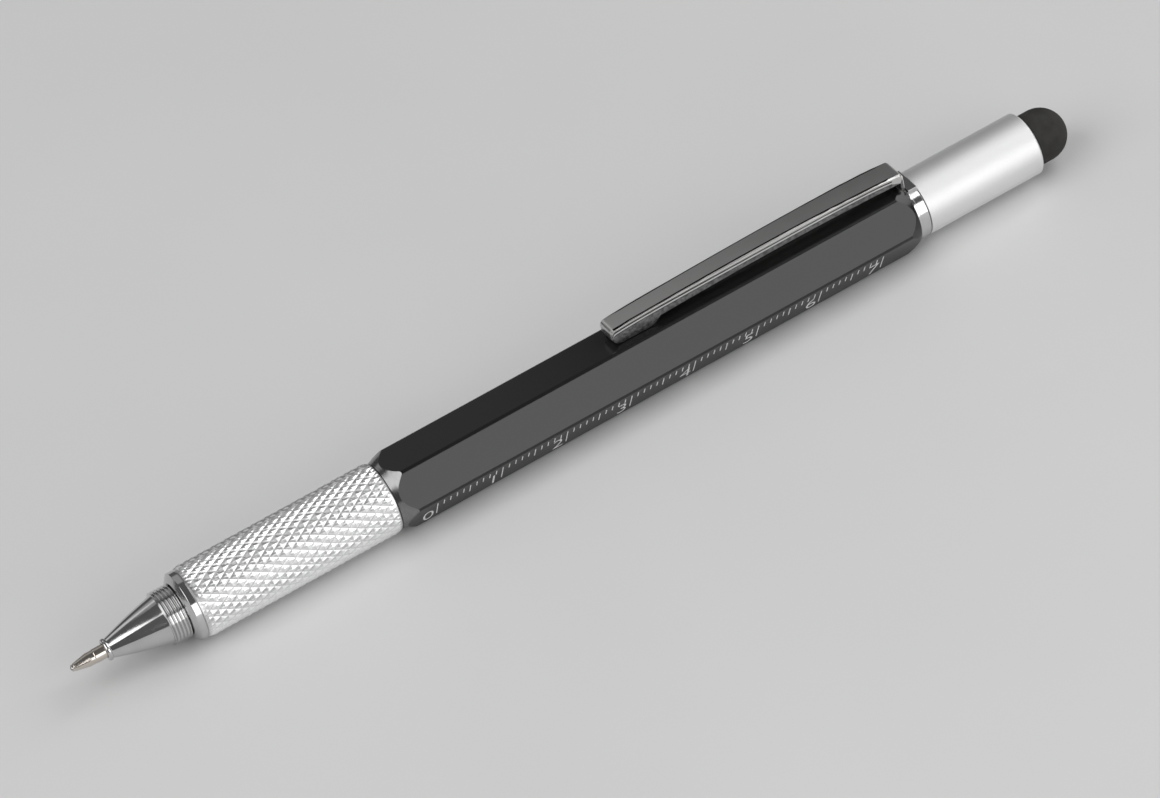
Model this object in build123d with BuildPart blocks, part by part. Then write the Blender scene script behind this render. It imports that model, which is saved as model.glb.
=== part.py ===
from build123d import *
from math import cos, radians, sin, tan
import os

# Multi tool pen: hexagonal barrel with a ruler, twist-action ball pen, touch stylus, spirit level and bit.
# Millimetres. The pen lies level along X, its writing tip towards -X and its clip on top.
# The origin is under the middle of its length, on the plane that touches the underside of the grip.

# Clearances, and the overrun of every cut
slip = 0.02  # between pieces of one body
running = 0.05  # radial, between pieces that turn or slide on each other
seam = 0.05  # between end faces that part
overrun = 1.0

# Hexagonal barrel
across_flats = 9.9
barrel_length = 81.6
barrel_edge_radius = 0.7
barrel_front_radius = 4.7
barrel_rear_radius = 4.8
barrel_chamfer_angle = 22.4
barrel_bore_radius = 3.3
bearing_radius = 3.75
bearing_depth = 10.0

# Refill
ball_radius = 0.35
ball_play = 0.015
ball_stand_out = 0.2
tip_reach = 5.0
tip_rim_radius = 0.45
tip_cone_length = 2.3
tip_radius = 0.98
tip_length = 11.0
tip_spigot_length = 3.0
refill_length = 67.0
refill_radius = 1.175
refill_wall = 0.25
plug_depth = 2.4

# Nose, turned in one piece with its grooved collar and its threaded spigot
nose_bead_length = 0.6
nose_bead_edge = 0.18
nose_bead_radius = 1.56
nose_front_radius = 1.38
nose_length = 7.8
nose_rear_radius = 3.45
nose_throat_length = 4.6
nose_throat_radius = 1.06
collar_length = 2.5
collar_radius = 3.8
collar_groove_count = 5
collar_groove_depth = 0.22
nose_seam = 0.15
nose_thread_radius = 3.2
nose_thread_length = 6.4

# Trim ring behind the nose
ring_cone_length = 0.65
ring_band_length = 0.9
ring_front_radius = 3.95
ring_radius = 4.9

# Grip
grip_length = 29.3
grip_radius = 5.12
grip_wall = 1.1
grip_seam = 0.1

# Coupler between the grip, the guide tube and the barrel, and its friction ring
coupler_grip_length = 11.0
coupler_spigot_length = 8.0
friction_ring_section = 0.9
friction_ring_setback = 3.15

# Twist mechanism
twist_angle = 180.0
feed_travel = 5.5
guide_radius = 2.35
guide_bore_radius = 2.0
guide_front_length = 9.0
guide_tail = 0.8
flange_length = 0.6
flange_radius = 2.9
cam_lead = 5.5
cam_length = 15.0
cam_bore_radius = 2.4
pin_radius = 0.6
pin_root = 1.0
pin_lead = 2.45
pin_tail = 2.5
carrier_grip_depth = 4.0
carrier_slot_width = 0.35
retainer_length = 0.6

# Spirit level
vial_length = 15.0
vial_bore_radius = 2.3
vial_end_wall = 1.0
vial_plug_length = 1.6
window_length = 12.0
window_width = 4.2
window_thickness = 1.1
window_recess = 0.08
window_ledge = 0.5

# Bit, its socket and the magnet that holds it
socket_length = 16.6
neck_length = 6.4
neck_radius = 3.25
magnet_floor = 2.0
magnet_length = 2.0
magnet_radius = 1.7
bit_stand_off = 0.2
bit_length = 28.8
bit_flats = 4.0
bit_neck_radius = 1.5
bit_neck_length = 5.0
bit_blade_length = 3.4
bit_blade_thickness = 0.6
bit_point_length = 2.2
bit_point_radius = 0.45
bit_flute_length = 3.2
bit_flute_size = 1.1
bit_flute_web = 0.3

# Clip ring, with the low lug that carries the clip
clip_ring_length = 1.7
clip_ring_radius = 4.55
clip_flange_length = 0.45
clip_flange_radius = 4.68
clip_lug_width = 4.4
clip_lug_drop = 0.2  # below the barrel's flats

# Clip, folded from sheet
clip_length = 46.2
clip_overhang = 0.2
clip_play = 0.12
clip_sheet = 0.5
clip_wall = 0.6
clip_fold = 0.25
clip_tip_width = 3.1
clip_head_width = 3.8
clip_tip_height = 2.75
clip_middle_height = 3.16
clip_crown_height = 3.33
clip_head_height = 2.82
clip_tip_radius = 0.75
clip_head_radius = 0.8
clip_middle_setback = 31.8
clip_crown_setback = 16.8
clip_skirt_tip = 1.1
clip_skirt_middle = 1.38
clip_skirt_crown = 1.68
clip_skirt_head = 1.37
clip_foot_length = 7.5
clip_foot_gap = 0.12
clip_toe_length = 1.35
clip_toe_height = 1.3
clip_heel_length = 1.6

# Cap and stylus
cap_seam = 0.1
cap_length = 18.35
cap_radius = 4.59
cap_edge = 0.2
cap_bush_inset = 0.15
cap_bush_length = 4.2
cap_bush_wall = 0.6
cap_end_wall = 1.6
stylus_skirt_depth = 1.8
stylus_skirt_radius = 3.3
stylus_reach = 6.2
stylus_radius = 3.75
stylus_wall = 1.1
stem_radius = 1.45
stem_setback = 0.45

# Stations along X, from the ball to the end of the stylus
pen_length = (
    tip_reach + nose_bead_length + nose_length + collar_length + nose_seam
    + ring_cone_length + ring_band_length + grip_length + grip_seam
    + barrel_length + seam + clip_ring_length + cap_seam + cap_length + stylus_reach
)
tip_x = -pen_length / 2
nose_x = tip_x + tip_reach
cone_x = nose_x + nose_bead_length
collar_x = cone_x + nose_length
collar_end_x = collar_x + collar_length
ring_x = collar_end_x + nose_seam
ring_band_x = ring_x + ring_cone_length
grip_x = ring_band_x + ring_band_length
grip_end_x = grip_x + grip_length
barrel_x = grip_end_x + grip_seam
barrel_end_x = barrel_x + barrel_length
clip_ring_x = barrel_end_x + seam
clip_ring_end_x = clip_ring_x + clip_ring_length
cap_x = clip_ring_end_x + cap_seam
cap_end_x = cap_x + cap_length
stylus_end_x = cap_end_x + stylus_reach

# The grip is the widest round piece, so its radius is the height of the axis
axis_height = grip_radius
flat_offset = across_flats / 2
corner_offset = flat_offset / cos(radians(30))
top_flat = axis_height + flat_offset

pen_axis = Axis((0, 0, axis_height), (1, 0, 0))
lathe_plane = Plane.XY.offset(axis_height)


def across(station):
    """The cross-section plane at a station, with its x along Y and its y along Z."""
    return Plane(origin=(station, 0, axis_height), x_dir=(0, 1, 0), z_dir=(1, 0, 0))


def band(start, end, inner, outer, mode=Mode.ADD):
    """A rectangle of the lathe plane between two stations and two radii."""
    with Locations(((start + end) / 2, (inner + outer) / 2)):
        Rectangle(end - start, outer - inner, mode=mode)


os.makedirs("parts", exist_ok=True)

# Refill: ball, metal tip, tube and end plug
ball_x = tip_x + ball_radius
tip_rim_x = tip_x + ball_stand_out
tip_end_x = tip_x + tip_length
tip_spigot_end_x = tip_end_x + tip_spigot_length
refill_end_x = tip_x + refill_length
refill_bore_radius = refill_radius - refill_wall
tip_spigot_radius = refill_bore_radius - slip

with BuildPart() as refill_ball:
    with Locations((ball_x, 0, axis_height)):
        Sphere(ball_radius)
refill_ball.part.label = "refill_ball"
export_step(refill_ball.part, "parts/refill_ball.step")

with BuildPart() as refill_tip:
    with BuildSketch(lathe_plane):
        with BuildLine():
            Polyline(
                (tip_rim_x, 0),
                (tip_rim_x, tip_rim_radius),
                (tip_rim_x + tip_cone_length, tip_radius),
                (tip_end_x, tip_radius),
                (tip_end_x, tip_spigot_radius),
                (tip_spigot_end_x, tip_spigot_radius),
                (tip_spigot_end_x, 0),
                close=True,
            )
        make_face()
        band(tip_x, tip_spigot_end_x + overrun, 0, ball_radius + ball_play, mode=Mode.SUBTRACT)
    revolve(axis=pen_axis)
refill_tip.part.label = "refill_tip"
export_step(refill_tip.part, "parts/refill_tip.step")

with BuildPart() as refill_tube:
    with BuildSketch(lathe_plane):
        band(tip_end_x, refill_end_x, refill_bore_radius, refill_radius)
    revolve(axis=pen_axis)
refill_tube.part.label = "refill_tube"
export_step(refill_tube.part, "parts/refill_tube.step")

with BuildPart() as refill_plug:
    with BuildSketch(lathe_plane):
        band(refill_end_x - plug_depth, refill_end_x, 0, refill_bore_radius - slip)
    revolve(axis=pen_axis)
refill_plug.part.label = "refill_plug"
export_step(refill_plug.part, "parts/refill_plug.step")

# Nose: front bead, cone, grooved collar and threaded spigot
nose_spigot_end_x = collar_end_x + nose_thread_length
nose_throat_end_x = nose_x + nose_throat_length
nose_bore_radius = refill_radius + 2 * running
collar_pitch = collar_length / collar_groove_count

with BuildPart() as nose_cone:
    with BuildSketch(lathe_plane):
        with BuildLine():
            Polyline(
                (nose_x, 0),
                (nose_x, nose_bead_radius - nose_bead_edge),
                (nose_x + nose_bead_edge, nose_bead_radius),
                (cone_x, nose_bead_radius),
                (cone_x, nose_front_radius),
                (collar_x, nose_rear_radius),
                (collar_x, collar_radius),
                (collar_end_x, collar_radius),
                (collar_end_x, nose_thread_radius),
                (nose_spigot_end_x, nose_thread_radius),
                (nose_spigot_end_x, 0),
                close=True,
            )
        make_face()
        for groove in range(collar_groove_count):
            groove_x = collar_x + groove * collar_pitch
            with BuildLine():
                Polyline(
                    (groove_x, collar_radius),
                    (groove_x + collar_pitch / 2, collar_radius - collar_groove_depth),
                    (groove_x + collar_pitch, collar_radius),
                    close=True,
                )
            make_face(mode=Mode.SUBTRACT)
        band(nose_x - overrun, collar_x, 0, nose_throat_radius, mode=Mode.SUBTRACT)
        band(nose_throat_end_x, nose_spigot_end_x + overrun, 0, nose_bore_radius, mode=Mode.SUBTRACT)
    revolve(axis=pen_axis)
nose_cone.part.label = "nose_cone"
export_step(nose_cone.part, "parts/nose_cone.step")

# Trim ring: a short cone that rises to a polished band
thread_bore_radius = nose_thread_radius + running

with BuildPart() as nose_ring:
    with BuildSketch(lathe_plane):
        with BuildLine():
            Polyline(
                (ring_x, thread_bore_radius),
                (ring_x, ring_front_radius),
                (ring_band_x, ring_radius),
                (grip_x, ring_radius),
                (grip_x, thread_bore_radius),
                close=True,
            )
        make_face()
    revolve(axis=pen_axis)
nose_ring.part.label = "nose_ring"
export_step(nose_ring.part, "parts/nose_ring.step")

# Grip: a sleeve with the nose's thread in front and the coupler's seat behind
grip_bore_radius = grip_radius - grip_wall

with BuildPart() as grip_sleeve:
    with BuildSketch(lathe_plane):
        band(grip_x, grip_end_x, thread_bore_radius, grip_radius)
        band(nose_spigot_end_x + seam, grip_end_x + overrun, 0, grip_bore_radius, mode=Mode.SUBTRACT)
    revolve(axis=pen_axis)
grip_sleeve.part.label = "grip_sleeve"
export_step(grip_sleeve.part, "parts/grip_sleeve.step")

# Coupler: seated in the grip, it turns in the barrel's bearing and carries the friction ring
coupler_x = grip_end_x - coupler_grip_length
coupler_end_x = barrel_x + coupler_spigot_length
coupler_bore_radius = guide_radius + slip
spigot_radius = bearing_radius - running
friction_ring_x = barrel_x + friction_ring_setback
friction_ring_end_x = friction_ring_x + friction_ring_section
friction_ring_radius = bearing_radius - slip
friction_ring_bore = friction_ring_radius - friction_ring_section

with BuildPart() as grip_coupler:
    with BuildSketch(lathe_plane):
        band(coupler_x, grip_end_x, coupler_bore_radius, grip_bore_radius - slip)
        band(grip_end_x, coupler_end_x, coupler_bore_radius, spigot_radius)
        band(
            friction_ring_x - slip,
            friction_ring_end_x + slip,
            friction_ring_bore - slip,
            spigot_radius + overrun,
            mode=Mode.SUBTRACT,
        )
    revolve(axis=pen_axis)
grip_coupler.part.label = "grip_coupler"
export_step(grip_coupler.part, "parts/grip_coupler.step")

with BuildPart() as friction_ring:
    with BuildSketch(lathe_plane):
        band(friction_ring_x, friction_ring_end_x, friction_ring_bore, friction_ring_radius)
    revolve(axis=pen_axis)
friction_ring.part.label = "friction_ring"
export_step(friction_ring.part, "parts/friction_ring.step")

# Twist mechanism: the grip turns the guide tube, whose straight slot turns the follower pin. The pin also
# runs in the helical slot of the cam sleeve, which is fixed in the barrel, and so it feeds the carrier. The
# pin stands behind the refill, and no further forward than the cam sleeve's place behind the coupler allows.
carrier_x = refill_end_x - carrier_grip_depth
carrier_floor_x = refill_end_x + seam
pin_x = max(carrier_floor_x + pin_lead, coupler_end_x + 2 * seam + flange_length + cam_lead)
carrier_end_x = pin_x + pin_tail
cam_x = pin_x - cam_lead
cam_end_x = cam_x + cam_length
cam_radius = barrel_bore_radius - slip
retainer_x = cam_end_x + seam
retainer_end_x = retainer_x + retainer_length
guide_x = barrel_x - guide_front_length
guide_end_x = retainer_end_x + guide_tail
carrier_radius = guide_bore_radius - running
pin_top = cam_radius - 2 * running
slot_width = 2 * (pin_radius + running)
pin_plane = Plane(origin=(pin_x, 0, axis_height), x_dir=(1, 0, 0), z_dir=(0, 0, 1))
slot_end_plane = Plane(
    origin=(pin_x + feed_travel, 0, axis_height),
    x_dir=(1, 0, 0),
    z_dir=(0, -sin(radians(twist_angle)), cos(radians(twist_angle))),
)

with BuildPart() as cam_sleeve:
    with BuildSketch(lathe_plane):
        band(cam_x, cam_end_x, cam_bore_radius, cam_radius)
    revolve(axis=pen_axis)
    with BuildLine() as cam_path:
        Helix(
            pitch=feed_travel * 360 / twist_angle,
            height=feed_travel,
            radius=(cam_bore_radius + cam_radius) / 2,
            center=(pin_x, 0, axis_height),
            direction=(1, 0, 0),
        )
    with BuildSketch(Plane(origin=cam_path.line @ 0, x_dir=(0, 0, 1), z_dir=cam_path.line % 0)):
        Rectangle(2 * (cam_radius - cam_bore_radius), slot_width)
    sweep(path=cam_path.line, is_frenet=True, mode=Mode.SUBTRACT)
    for end_plane in (pin_plane, slot_end_plane):
        with BuildSketch(end_plane):
            Circle(slot_width / 2)
        extrude(amount=cam_radius + overrun, mode=Mode.SUBTRACT)
cam_sleeve.part.label = "cam_sleeve"
export_step(cam_sleeve.part, "parts/cam_sleeve.step")

with BuildPart() as guide_tube:
    with BuildSketch(lathe_plane):
        band(guide_x, guide_end_x, guide_bore_radius, guide_radius)
        band(cam_x - seam - flange_length, cam_x - seam, guide_bore_radius, flange_radius)
    revolve(axis=pen_axis)
    with BuildSketch(pin_plane):
        with Locations((feed_travel / 2, 0)):
            SlotCenterToCenter(feed_travel, slot_width)
    extrude(amount=guide_radius + overrun, mode=Mode.SUBTRACT)
guide_tube.part.label = "guide_tube"
export_step(guide_tube.part, "parts/guide_tube.step")

with BuildPart() as retaining_ring:
    with BuildSketch(lathe_plane):
        band(retainer_x, retainer_end_x, guide_radius + slip, flange_radius)
    revolve(axis=pen_axis)
retaining_ring.part.label = "retaining_ring"
export_step(retaining_ring.part, "parts/retaining_ring.step")

# Carrier: a split cup that holds the refill, with a solid end for the follower pin
with BuildPart() as refill_carrier:
    with BuildSketch(lathe_plane):
        band(carrier_x, carrier_end_x, 0, carrier_radius)
        band(carrier_x - overrun, carrier_floor_x, 0, refill_radius + slip, mode=Mode.SUBTRACT)
    revolve(axis=pen_axis)
    with BuildSketch(lathe_plane):
        with Locations(((carrier_x - overrun + refill_end_x) / 2, 0)):
            Rectangle(refill_end_x - carrier_x + overrun, carrier_slot_width)
    extrude(amount=carrier_radius + overrun, both=True, mode=Mode.SUBTRACT)
    with BuildSketch(pin_plane.offset(-pin_root - slip)):
        Circle(pin_radius + slip)
    extrude(amount=pin_root + carrier_radius + overrun, mode=Mode.SUBTRACT)
refill_carrier.part.label = "refill_carrier"
export_step(refill_carrier.part, "parts/refill_carrier.step")

with BuildPart() as follower_pin:
    with BuildSketch(pin_plane.offset(-pin_root)):
        Circle(pin_radius)
    extrude(amount=pin_root + pin_top)
follower_pin.part.label = "follower_pin"
export_step(follower_pin.part, "parts/follower_pin.step")

# Barrel: rounded hexagon with a turned chamfer at each end, bored through, with the window over the level
socket_x = barrel_end_x - socket_length
vial_x = (guide_end_x + socket_x - vial_length) / 2
vial_end_x = vial_x + vial_length
window_plane = Plane(
    origin=((vial_x + vial_end_x) / 2, 0, axis_height),
    x_dir=(1, 0, 0),
    z_dir=(0, cos(radians(30)), sin(radians(30))),
)
window_floor = flat_offset - window_recess - window_thickness
front_run = (corner_offset - barrel_front_radius) / tan(radians(barrel_chamfer_angle))
rear_run = (corner_offset - barrel_rear_radius) / tan(radians(barrel_chamfer_angle))

with BuildPart() as hex_barrel:
    with BuildSketch(across(barrel_x)) as barrel_section:
        RegularPolygon(radius=flat_offset, side_count=6, major_radius=False)
        fillet(barrel_section.vertices(), radius=barrel_edge_radius)
    extrude(amount=barrel_length)
    with BuildSketch(lathe_plane):
        with BuildLine():
            Polyline(
                (barrel_x, 0),
                (barrel_x, barrel_front_radius),
                (barrel_x + front_run, corner_offset),
                (barrel_end_x - rear_run, corner_offset),
                (barrel_end_x, barrel_rear_radius),
                (barrel_end_x, 0),
                close=True,
            )
        make_face()
    revolve(axis=pen_axis, mode=Mode.INTERSECT)
    with BuildSketch(lathe_plane):
        band(barrel_x - overrun, barrel_x + bearing_depth, 0, bearing_radius)
        band(barrel_x, barrel_end_x + overrun, 0, barrel_bore_radius)
    revolve(axis=pen_axis, mode=Mode.SUBTRACT)
    with BuildSketch(window_plane.offset(window_floor)):
        SlotOverall(window_length, window_width)
    extrude(amount=flat_offset, mode=Mode.SUBTRACT)
    with BuildSketch(window_plane):
        SlotOverall(window_length - 2 * window_ledge, window_width - 2 * window_ledge)
    extrude(amount=flat_offset, mode=Mode.SUBTRACT)
hex_barrel.part.label = "hex_barrel"
export_step(hex_barrel.part, "parts/hex_barrel.step")

# Spirit level: a clear vial with its liquid, its plug, and the window in the barrel's wall
vial_radius = barrel_bore_radius - slip
vial_floor_x = vial_x + vial_end_wall
vial_plug_x = vial_end_x - vial_plug_length
liquid_radius = vial_bore_radius - slip

with BuildPart() as level_vial:
    with BuildSketch(lathe_plane):
        band(vial_x, vial_end_x, 0, vial_radius)
        band(vial_floor_x, vial_end_x + overrun, 0, vial_bore_radius, mode=Mode.SUBTRACT)
    revolve(axis=pen_axis)
level_vial.part.label = "level_vial"
export_step(level_vial.part, "parts/level_vial.step")

with BuildPart() as level_liquid:
    with BuildSketch(lathe_plane):
        band(vial_floor_x, vial_plug_x, 0, liquid_radius)
    revolve(axis=pen_axis)
level_liquid.part.label = "level_liquid"
export_step(level_liquid.part, "parts/level_liquid.step")

with BuildPart() as vial_plug:
    with BuildSketch(lathe_plane):
        band(vial_plug_x, vial_end_x, 0, vial_bore_radius - slip)
    revolve(axis=pen_axis)
vial_plug.part.label = "vial_plug"
export_step(vial_plug.part, "parts/vial_plug.step")

with BuildPart() as vial_window:
    with BuildSketch(window_plane.offset(window_floor)):
        SlotOverall(window_length - 2 * slip, window_width - 2 * slip)
    extrude(amount=window_thickness)
vial_window.part.label = "vial_window"
export_step(vial_window.part, "parts/vial_window.step")

# Bit socket: fixed in the barrel's rear bore, its neck carries the clip ring and the cap's thread
neck_end_x = barrel_end_x + neck_length
magnet_x = socket_x + magnet_floor
socket_floor_x = magnet_x + magnet_length

with BuildPart() as bit_socket:
    with BuildSketch(lathe_plane):
        band(socket_x, barrel_end_x, 0, barrel_bore_radius - slip)
        band(barrel_end_x, neck_end_x, 0, neck_radius)
        band(magnet_x, neck_end_x, 0, magnet_radius + slip, mode=Mode.SUBTRACT)
    revolve(axis=pen_axis)
    with BuildSketch(across(socket_floor_x)):
        RegularPolygon(radius=bit_flats / 2 + running / 2, side_count=6, major_radius=False)
    extrude(amount=neck_end_x - socket_floor_x + overrun, mode=Mode.SUBTRACT)
bit_socket.part.label = "bit_socket"
export_step(bit_socket.part, "parts/bit_socket.step")

with BuildPart() as socket_magnet:
    with BuildSketch(lathe_plane):
        band(magnet_x, socket_floor_x, 0, magnet_radius)
    revolve(axis=pen_axis)
socket_magnet.part.label = "socket_magnet"
export_step(socket_magnet.part, "parts/socket_magnet.step")

# Double-ended bit: hexagonal in the middle, a flat blade inside and a cross point outside
bit_x = socket_floor_x + bit_stand_off
bit_end_x = bit_x + bit_length
bit_corner = bit_flats / 2 / cos(radians(30))
flute_center = bit_flute_web + bit_flute_size * cos(radians(45))

with BuildPart() as double_ended_bit:
    with BuildSketch(across(bit_x)):
        RegularPolygon(radius=bit_flats / 2, side_count=6, major_radius=False)
    extrude(amount=bit_length)
    with BuildSketch(lathe_plane):
        with BuildLine():
            Polyline(
                (bit_x, 0),
                (bit_x, bit_neck_radius),
                (bit_x + bit_neck_length, bit_neck_radius),
                (bit_x + bit_neck_length, bit_corner),
                (bit_end_x - bit_neck_length, bit_corner),
                (bit_end_x - bit_neck_length, bit_neck_radius),
                (bit_end_x - bit_point_length, bit_neck_radius),
                (bit_end_x, bit_point_radius),
                (bit_end_x, 0),
                close=True,
            )
        make_face()
    revolve(axis=pen_axis, mode=Mode.INTERSECT)
    with BuildSketch(lathe_plane):
        with BuildLine():
            Polyline(
                (bit_x, bit_blade_thickness / 2),
                (bit_x + bit_blade_length, bit_neck_radius),
                (bit_x + bit_blade_length, bit_neck_radius + overrun),
                (bit_x, bit_neck_radius + overrun),
                close=True,
            )
        make_face()
        mirror(about=Plane.XZ)
    extrude(amount=bit_neck_radius + overrun, both=True, mode=Mode.SUBTRACT)
    with BuildSketch(across(bit_end_x - bit_flute_length)):
        with PolarLocations(flute_center, 4, start_angle=45):
            Rectangle(bit_flute_size, bit_flute_size, rotation=45)
    extrude(amount=bit_flute_length + overrun, mode=Mode.SUBTRACT)
double_ended_bit.part.label = "double_ended_bit"
export_step(double_ended_bit.part, "parts/double_ended_bit.step")

# Clip ring: a band with a polished front flange, and the lug behind the clip's head
clip_end_x = clip_ring_x + clip_overhang
clip_lug_x = clip_end_x + clip_play
clip_ring_bore = neck_radius + slip
clip_lug_root = (clip_ring_bore + clip_ring_radius) / 2

with BuildPart() as clip_ring:
    with BuildSketch(lathe_plane):
        band(clip_ring_x, clip_ring_x + clip_flange_length, clip_ring_bore, clip_flange_radius)
        band(clip_ring_x + clip_flange_length, clip_ring_end_x, clip_ring_bore, clip_ring_radius)
    revolve(axis=pen_axis)
    with BuildSketch(lathe_plane.offset(clip_lug_root)):
        with Locations(((clip_lug_x + clip_ring_end_x) / 2, 0)):
            Rectangle(clip_ring_end_x - clip_lug_x, clip_lug_width)
    extrude(amount=flat_offset - clip_lug_drop - clip_lug_root)
clip_ring.part.label = "clip_ring"
export_step(clip_ring.part, "parts/clip_ring.step")

# Clip: a tapered channel with turned-down ends, its head over the barrel's end and a foot at its tip
clip_x = clip_end_x - clip_length
clip_crown_x = clip_end_x - clip_crown_setback
clip_middle_x = clip_end_x - clip_middle_setback
clip_wall_x = clip_end_x - clip_wall
clip_heel_x = clip_x + clip_foot_length
clip_plane = Plane(origin=(0, 0, top_flat), x_dir=(1, 0, 0), z_dir=(0, -1, 0))
clip_plan = Plane.XY.offset(axis_height)
clip_top_points = (
    (clip_x + clip_tip_radius, clip_tip_height),
    (clip_middle_x, clip_middle_height),
    (clip_crown_x, clip_crown_height),
    (clip_end_x - clip_head_radius, clip_head_height),
)
clip_skirt_points = (
    (clip_wall_x, clip_skirt_head),
    (clip_crown_x, clip_skirt_crown),
    (clip_middle_x, clip_skirt_middle),
    (clip_heel_x, clip_skirt_tip),
)


def clip_outline(inset):
    """The clip seen from above, drawn in by a distance on its long sides."""
    Polyline(
        (clip_x, inset - clip_tip_width / 2),
        (clip_end_x, inset - clip_head_width / 2),
        (clip_end_x, clip_head_width / 2 - inset),
        (clip_x, clip_tip_width / 2 - inset),
        close=True,
    )


def is_clip_fold(edge):
    """Whether an edge runs along a long side of the clip, over its top or a turned-down end."""
    middle = edge.center()
    high = middle.Z > top_flat + clip_head_height - clip_head_radius
    return high and abs(middle.Y) > clip_sheet


with BuildPart() as clip_channel:
    with BuildSketch(clip_plane.offset(-clip_head_width)):
        with BuildLine():
            Spline(*((x, height - clip_sheet) for x, height in clip_top_points))
            Polyline(
                (clip_end_x - clip_head_radius, clip_head_height - clip_sheet),
                (clip_wall_x, clip_head_height - 2 * clip_sheet),
                (clip_wall_x, -overrun),
                (clip_heel_x - clip_sheet, -overrun),
                (clip_heel_x - clip_sheet, clip_skirt_tip),
                (clip_x + clip_tip_radius, clip_tip_height - clip_sheet),
            )
        make_face()
    extrude(amount=2 * clip_head_width)
    with BuildSketch(clip_plan):
        with BuildLine():
            clip_outline(clip_sheet)
        make_face()
    extrude(amount=top_flat, mode=Mode.INTERSECT)

with BuildPart() as clip_arm:
    with BuildSketch(clip_plane.offset(-clip_head_width)):
        with BuildLine():
            clip_crest = Spline(*clip_top_points)
            TangentArc(
                clip_crest @ 1,
                (clip_end_x, clip_head_height - clip_head_radius),
                tangent=clip_crest % 1,
            )
            Polyline(
                (clip_end_x, clip_head_height - clip_head_radius),
                (clip_end_x, clip_play),
                (clip_wall_x, clip_play),
                (clip_wall_x, clip_skirt_head),
            )
            Spline(*clip_skirt_points)
            ThreePointArc(
                (clip_heel_x, clip_skirt_tip),
                (clip_heel_x - clip_heel_length / 3, (clip_skirt_tip + clip_foot_gap) / 2),
                (clip_heel_x - clip_heel_length, clip_foot_gap),
            )
            Line(
                (clip_heel_x - clip_heel_length, clip_foot_gap),
                (clip_x + clip_toe_length, clip_foot_gap),
            )
            TangentArc(
                (clip_x + clip_toe_length, clip_foot_gap),
                (clip_x, clip_toe_height),
                tangent=(-1, 0),
            )
            Line((clip_x, clip_toe_height), (clip_x, clip_tip_height - clip_tip_radius))
            TangentArc(
                (clip_x, clip_tip_height - clip_tip_radius),
                (clip_x + clip_tip_radius, clip_tip_height),
                tangent=(0, 1),
            )
        make_face()
    extrude(amount=2 * clip_head_width)
    with BuildSketch(clip_plan):
        with BuildLine():
            clip_outline(0)
        make_face()
    extrude(amount=top_flat + clip_crown_height, mode=Mode.INTERSECT)
    chamfer(clip_arm.edges().filter_by(is_clip_fold), length=clip_fold)
    add(clip_channel.part, mode=Mode.SUBTRACT)
clip_arm.part.label = "clip_arm"
export_step(clip_arm.part, "parts/clip_arm.step")

# Cap: a shell with a threaded bush in front, a wall for the stylus stem and a recess for its dome
cap_bush_x = cap_x + cap_bush_inset
cap_bush_bore = neck_radius + running
cap_bush_radius = cap_bush_bore + cap_bush_wall
cap_recess_x = cap_end_x - stylus_skirt_depth
cap_wall_x = cap_recess_x - cap_end_wall
dome_x = stylus_end_x - stylus_radius
dome_cavity_radius = stylus_radius - stylus_wall

with BuildPart() as cap_shell:
    with BuildSketch(lathe_plane) as cap_profile:
        band(cap_x, cap_end_x, 0, cap_radius)
        chamfer(cap_profile.vertices().group_by(Axis.Y)[-1].sort_by(Axis.X)[-1], length=cap_edge)
        band(cap_x - overrun, cap_wall_x, 0, cap_bush_radius + slip, mode=Mode.SUBTRACT)
        band(cap_wall_x, cap_recess_x, 0, stem_radius + slip, mode=Mode.SUBTRACT)
        band(cap_recess_x, cap_end_x + overrun, 0, stylus_skirt_radius + slip, mode=Mode.SUBTRACT)
    revolve(axis=pen_axis)
cap_shell.part.label = "cap_shell"
export_step(cap_shell.part, "parts/cap_shell.step")

with BuildPart() as cap_bush:
    with BuildSketch(lathe_plane):
        band(cap_bush_x, cap_bush_x + cap_bush_length, cap_bush_bore, cap_bush_radius)
    revolve(axis=pen_axis)
cap_bush.part.label = "cap_bush"
export_step(cap_bush.part, "parts/cap_bush.step")

with BuildPart() as stylus_stem:
    with BuildSketch(lathe_plane):
        band(cap_wall_x, cap_recess_x, 0, stem_radius)
        band(cap_recess_x, dome_x - stem_setback, 0, dome_cavity_radius - slip)
    revolve(axis=pen_axis)
stylus_stem.part.label = "stylus_stem"
export_step(stylus_stem.part, "parts/stylus_stem.step")

with BuildPart() as stylus_dome:
    with BuildSketch(lathe_plane):
        with BuildLine():
            Polyline(
                (dome_x, dome_cavity_radius),
                (cap_recess_x, dome_cavity_radius),
                (cap_recess_x, stylus_skirt_radius),
                (cap_end_x, stylus_skirt_radius),
                (cap_end_x, stylus_radius),
                (dome_x, stylus_radius),
            )
            CenterArc((dome_x, 0), stylus_radius, 0, 90)
            Polyline((stylus_end_x, 0), (dome_x, 0), (dome_x, dome_cavity_radius))
        make_face()
    revolve(axis=pen_axis)
stylus_dome.part.label = "stylus_dome"
export_step(stylus_dome.part, "parts/stylus_dome.step")
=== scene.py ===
"""The looks of a multi tool pen: bright turned metal, black lacquer, a ruler and a sprung clip.

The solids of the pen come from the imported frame. Pieces are modelled in millimetres along the pen's
axis, which runs along X, and are brought to metres when they are settled on their body.
"""

import logging
import math
from collections.abc import Callable, Iterator, Sequence
from contextlib import contextmanager
from dataclasses import dataclass
from enum import Enum
from functools import cache
from typing import Any

import bpy
from mathutils import Matrix, Vector


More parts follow.
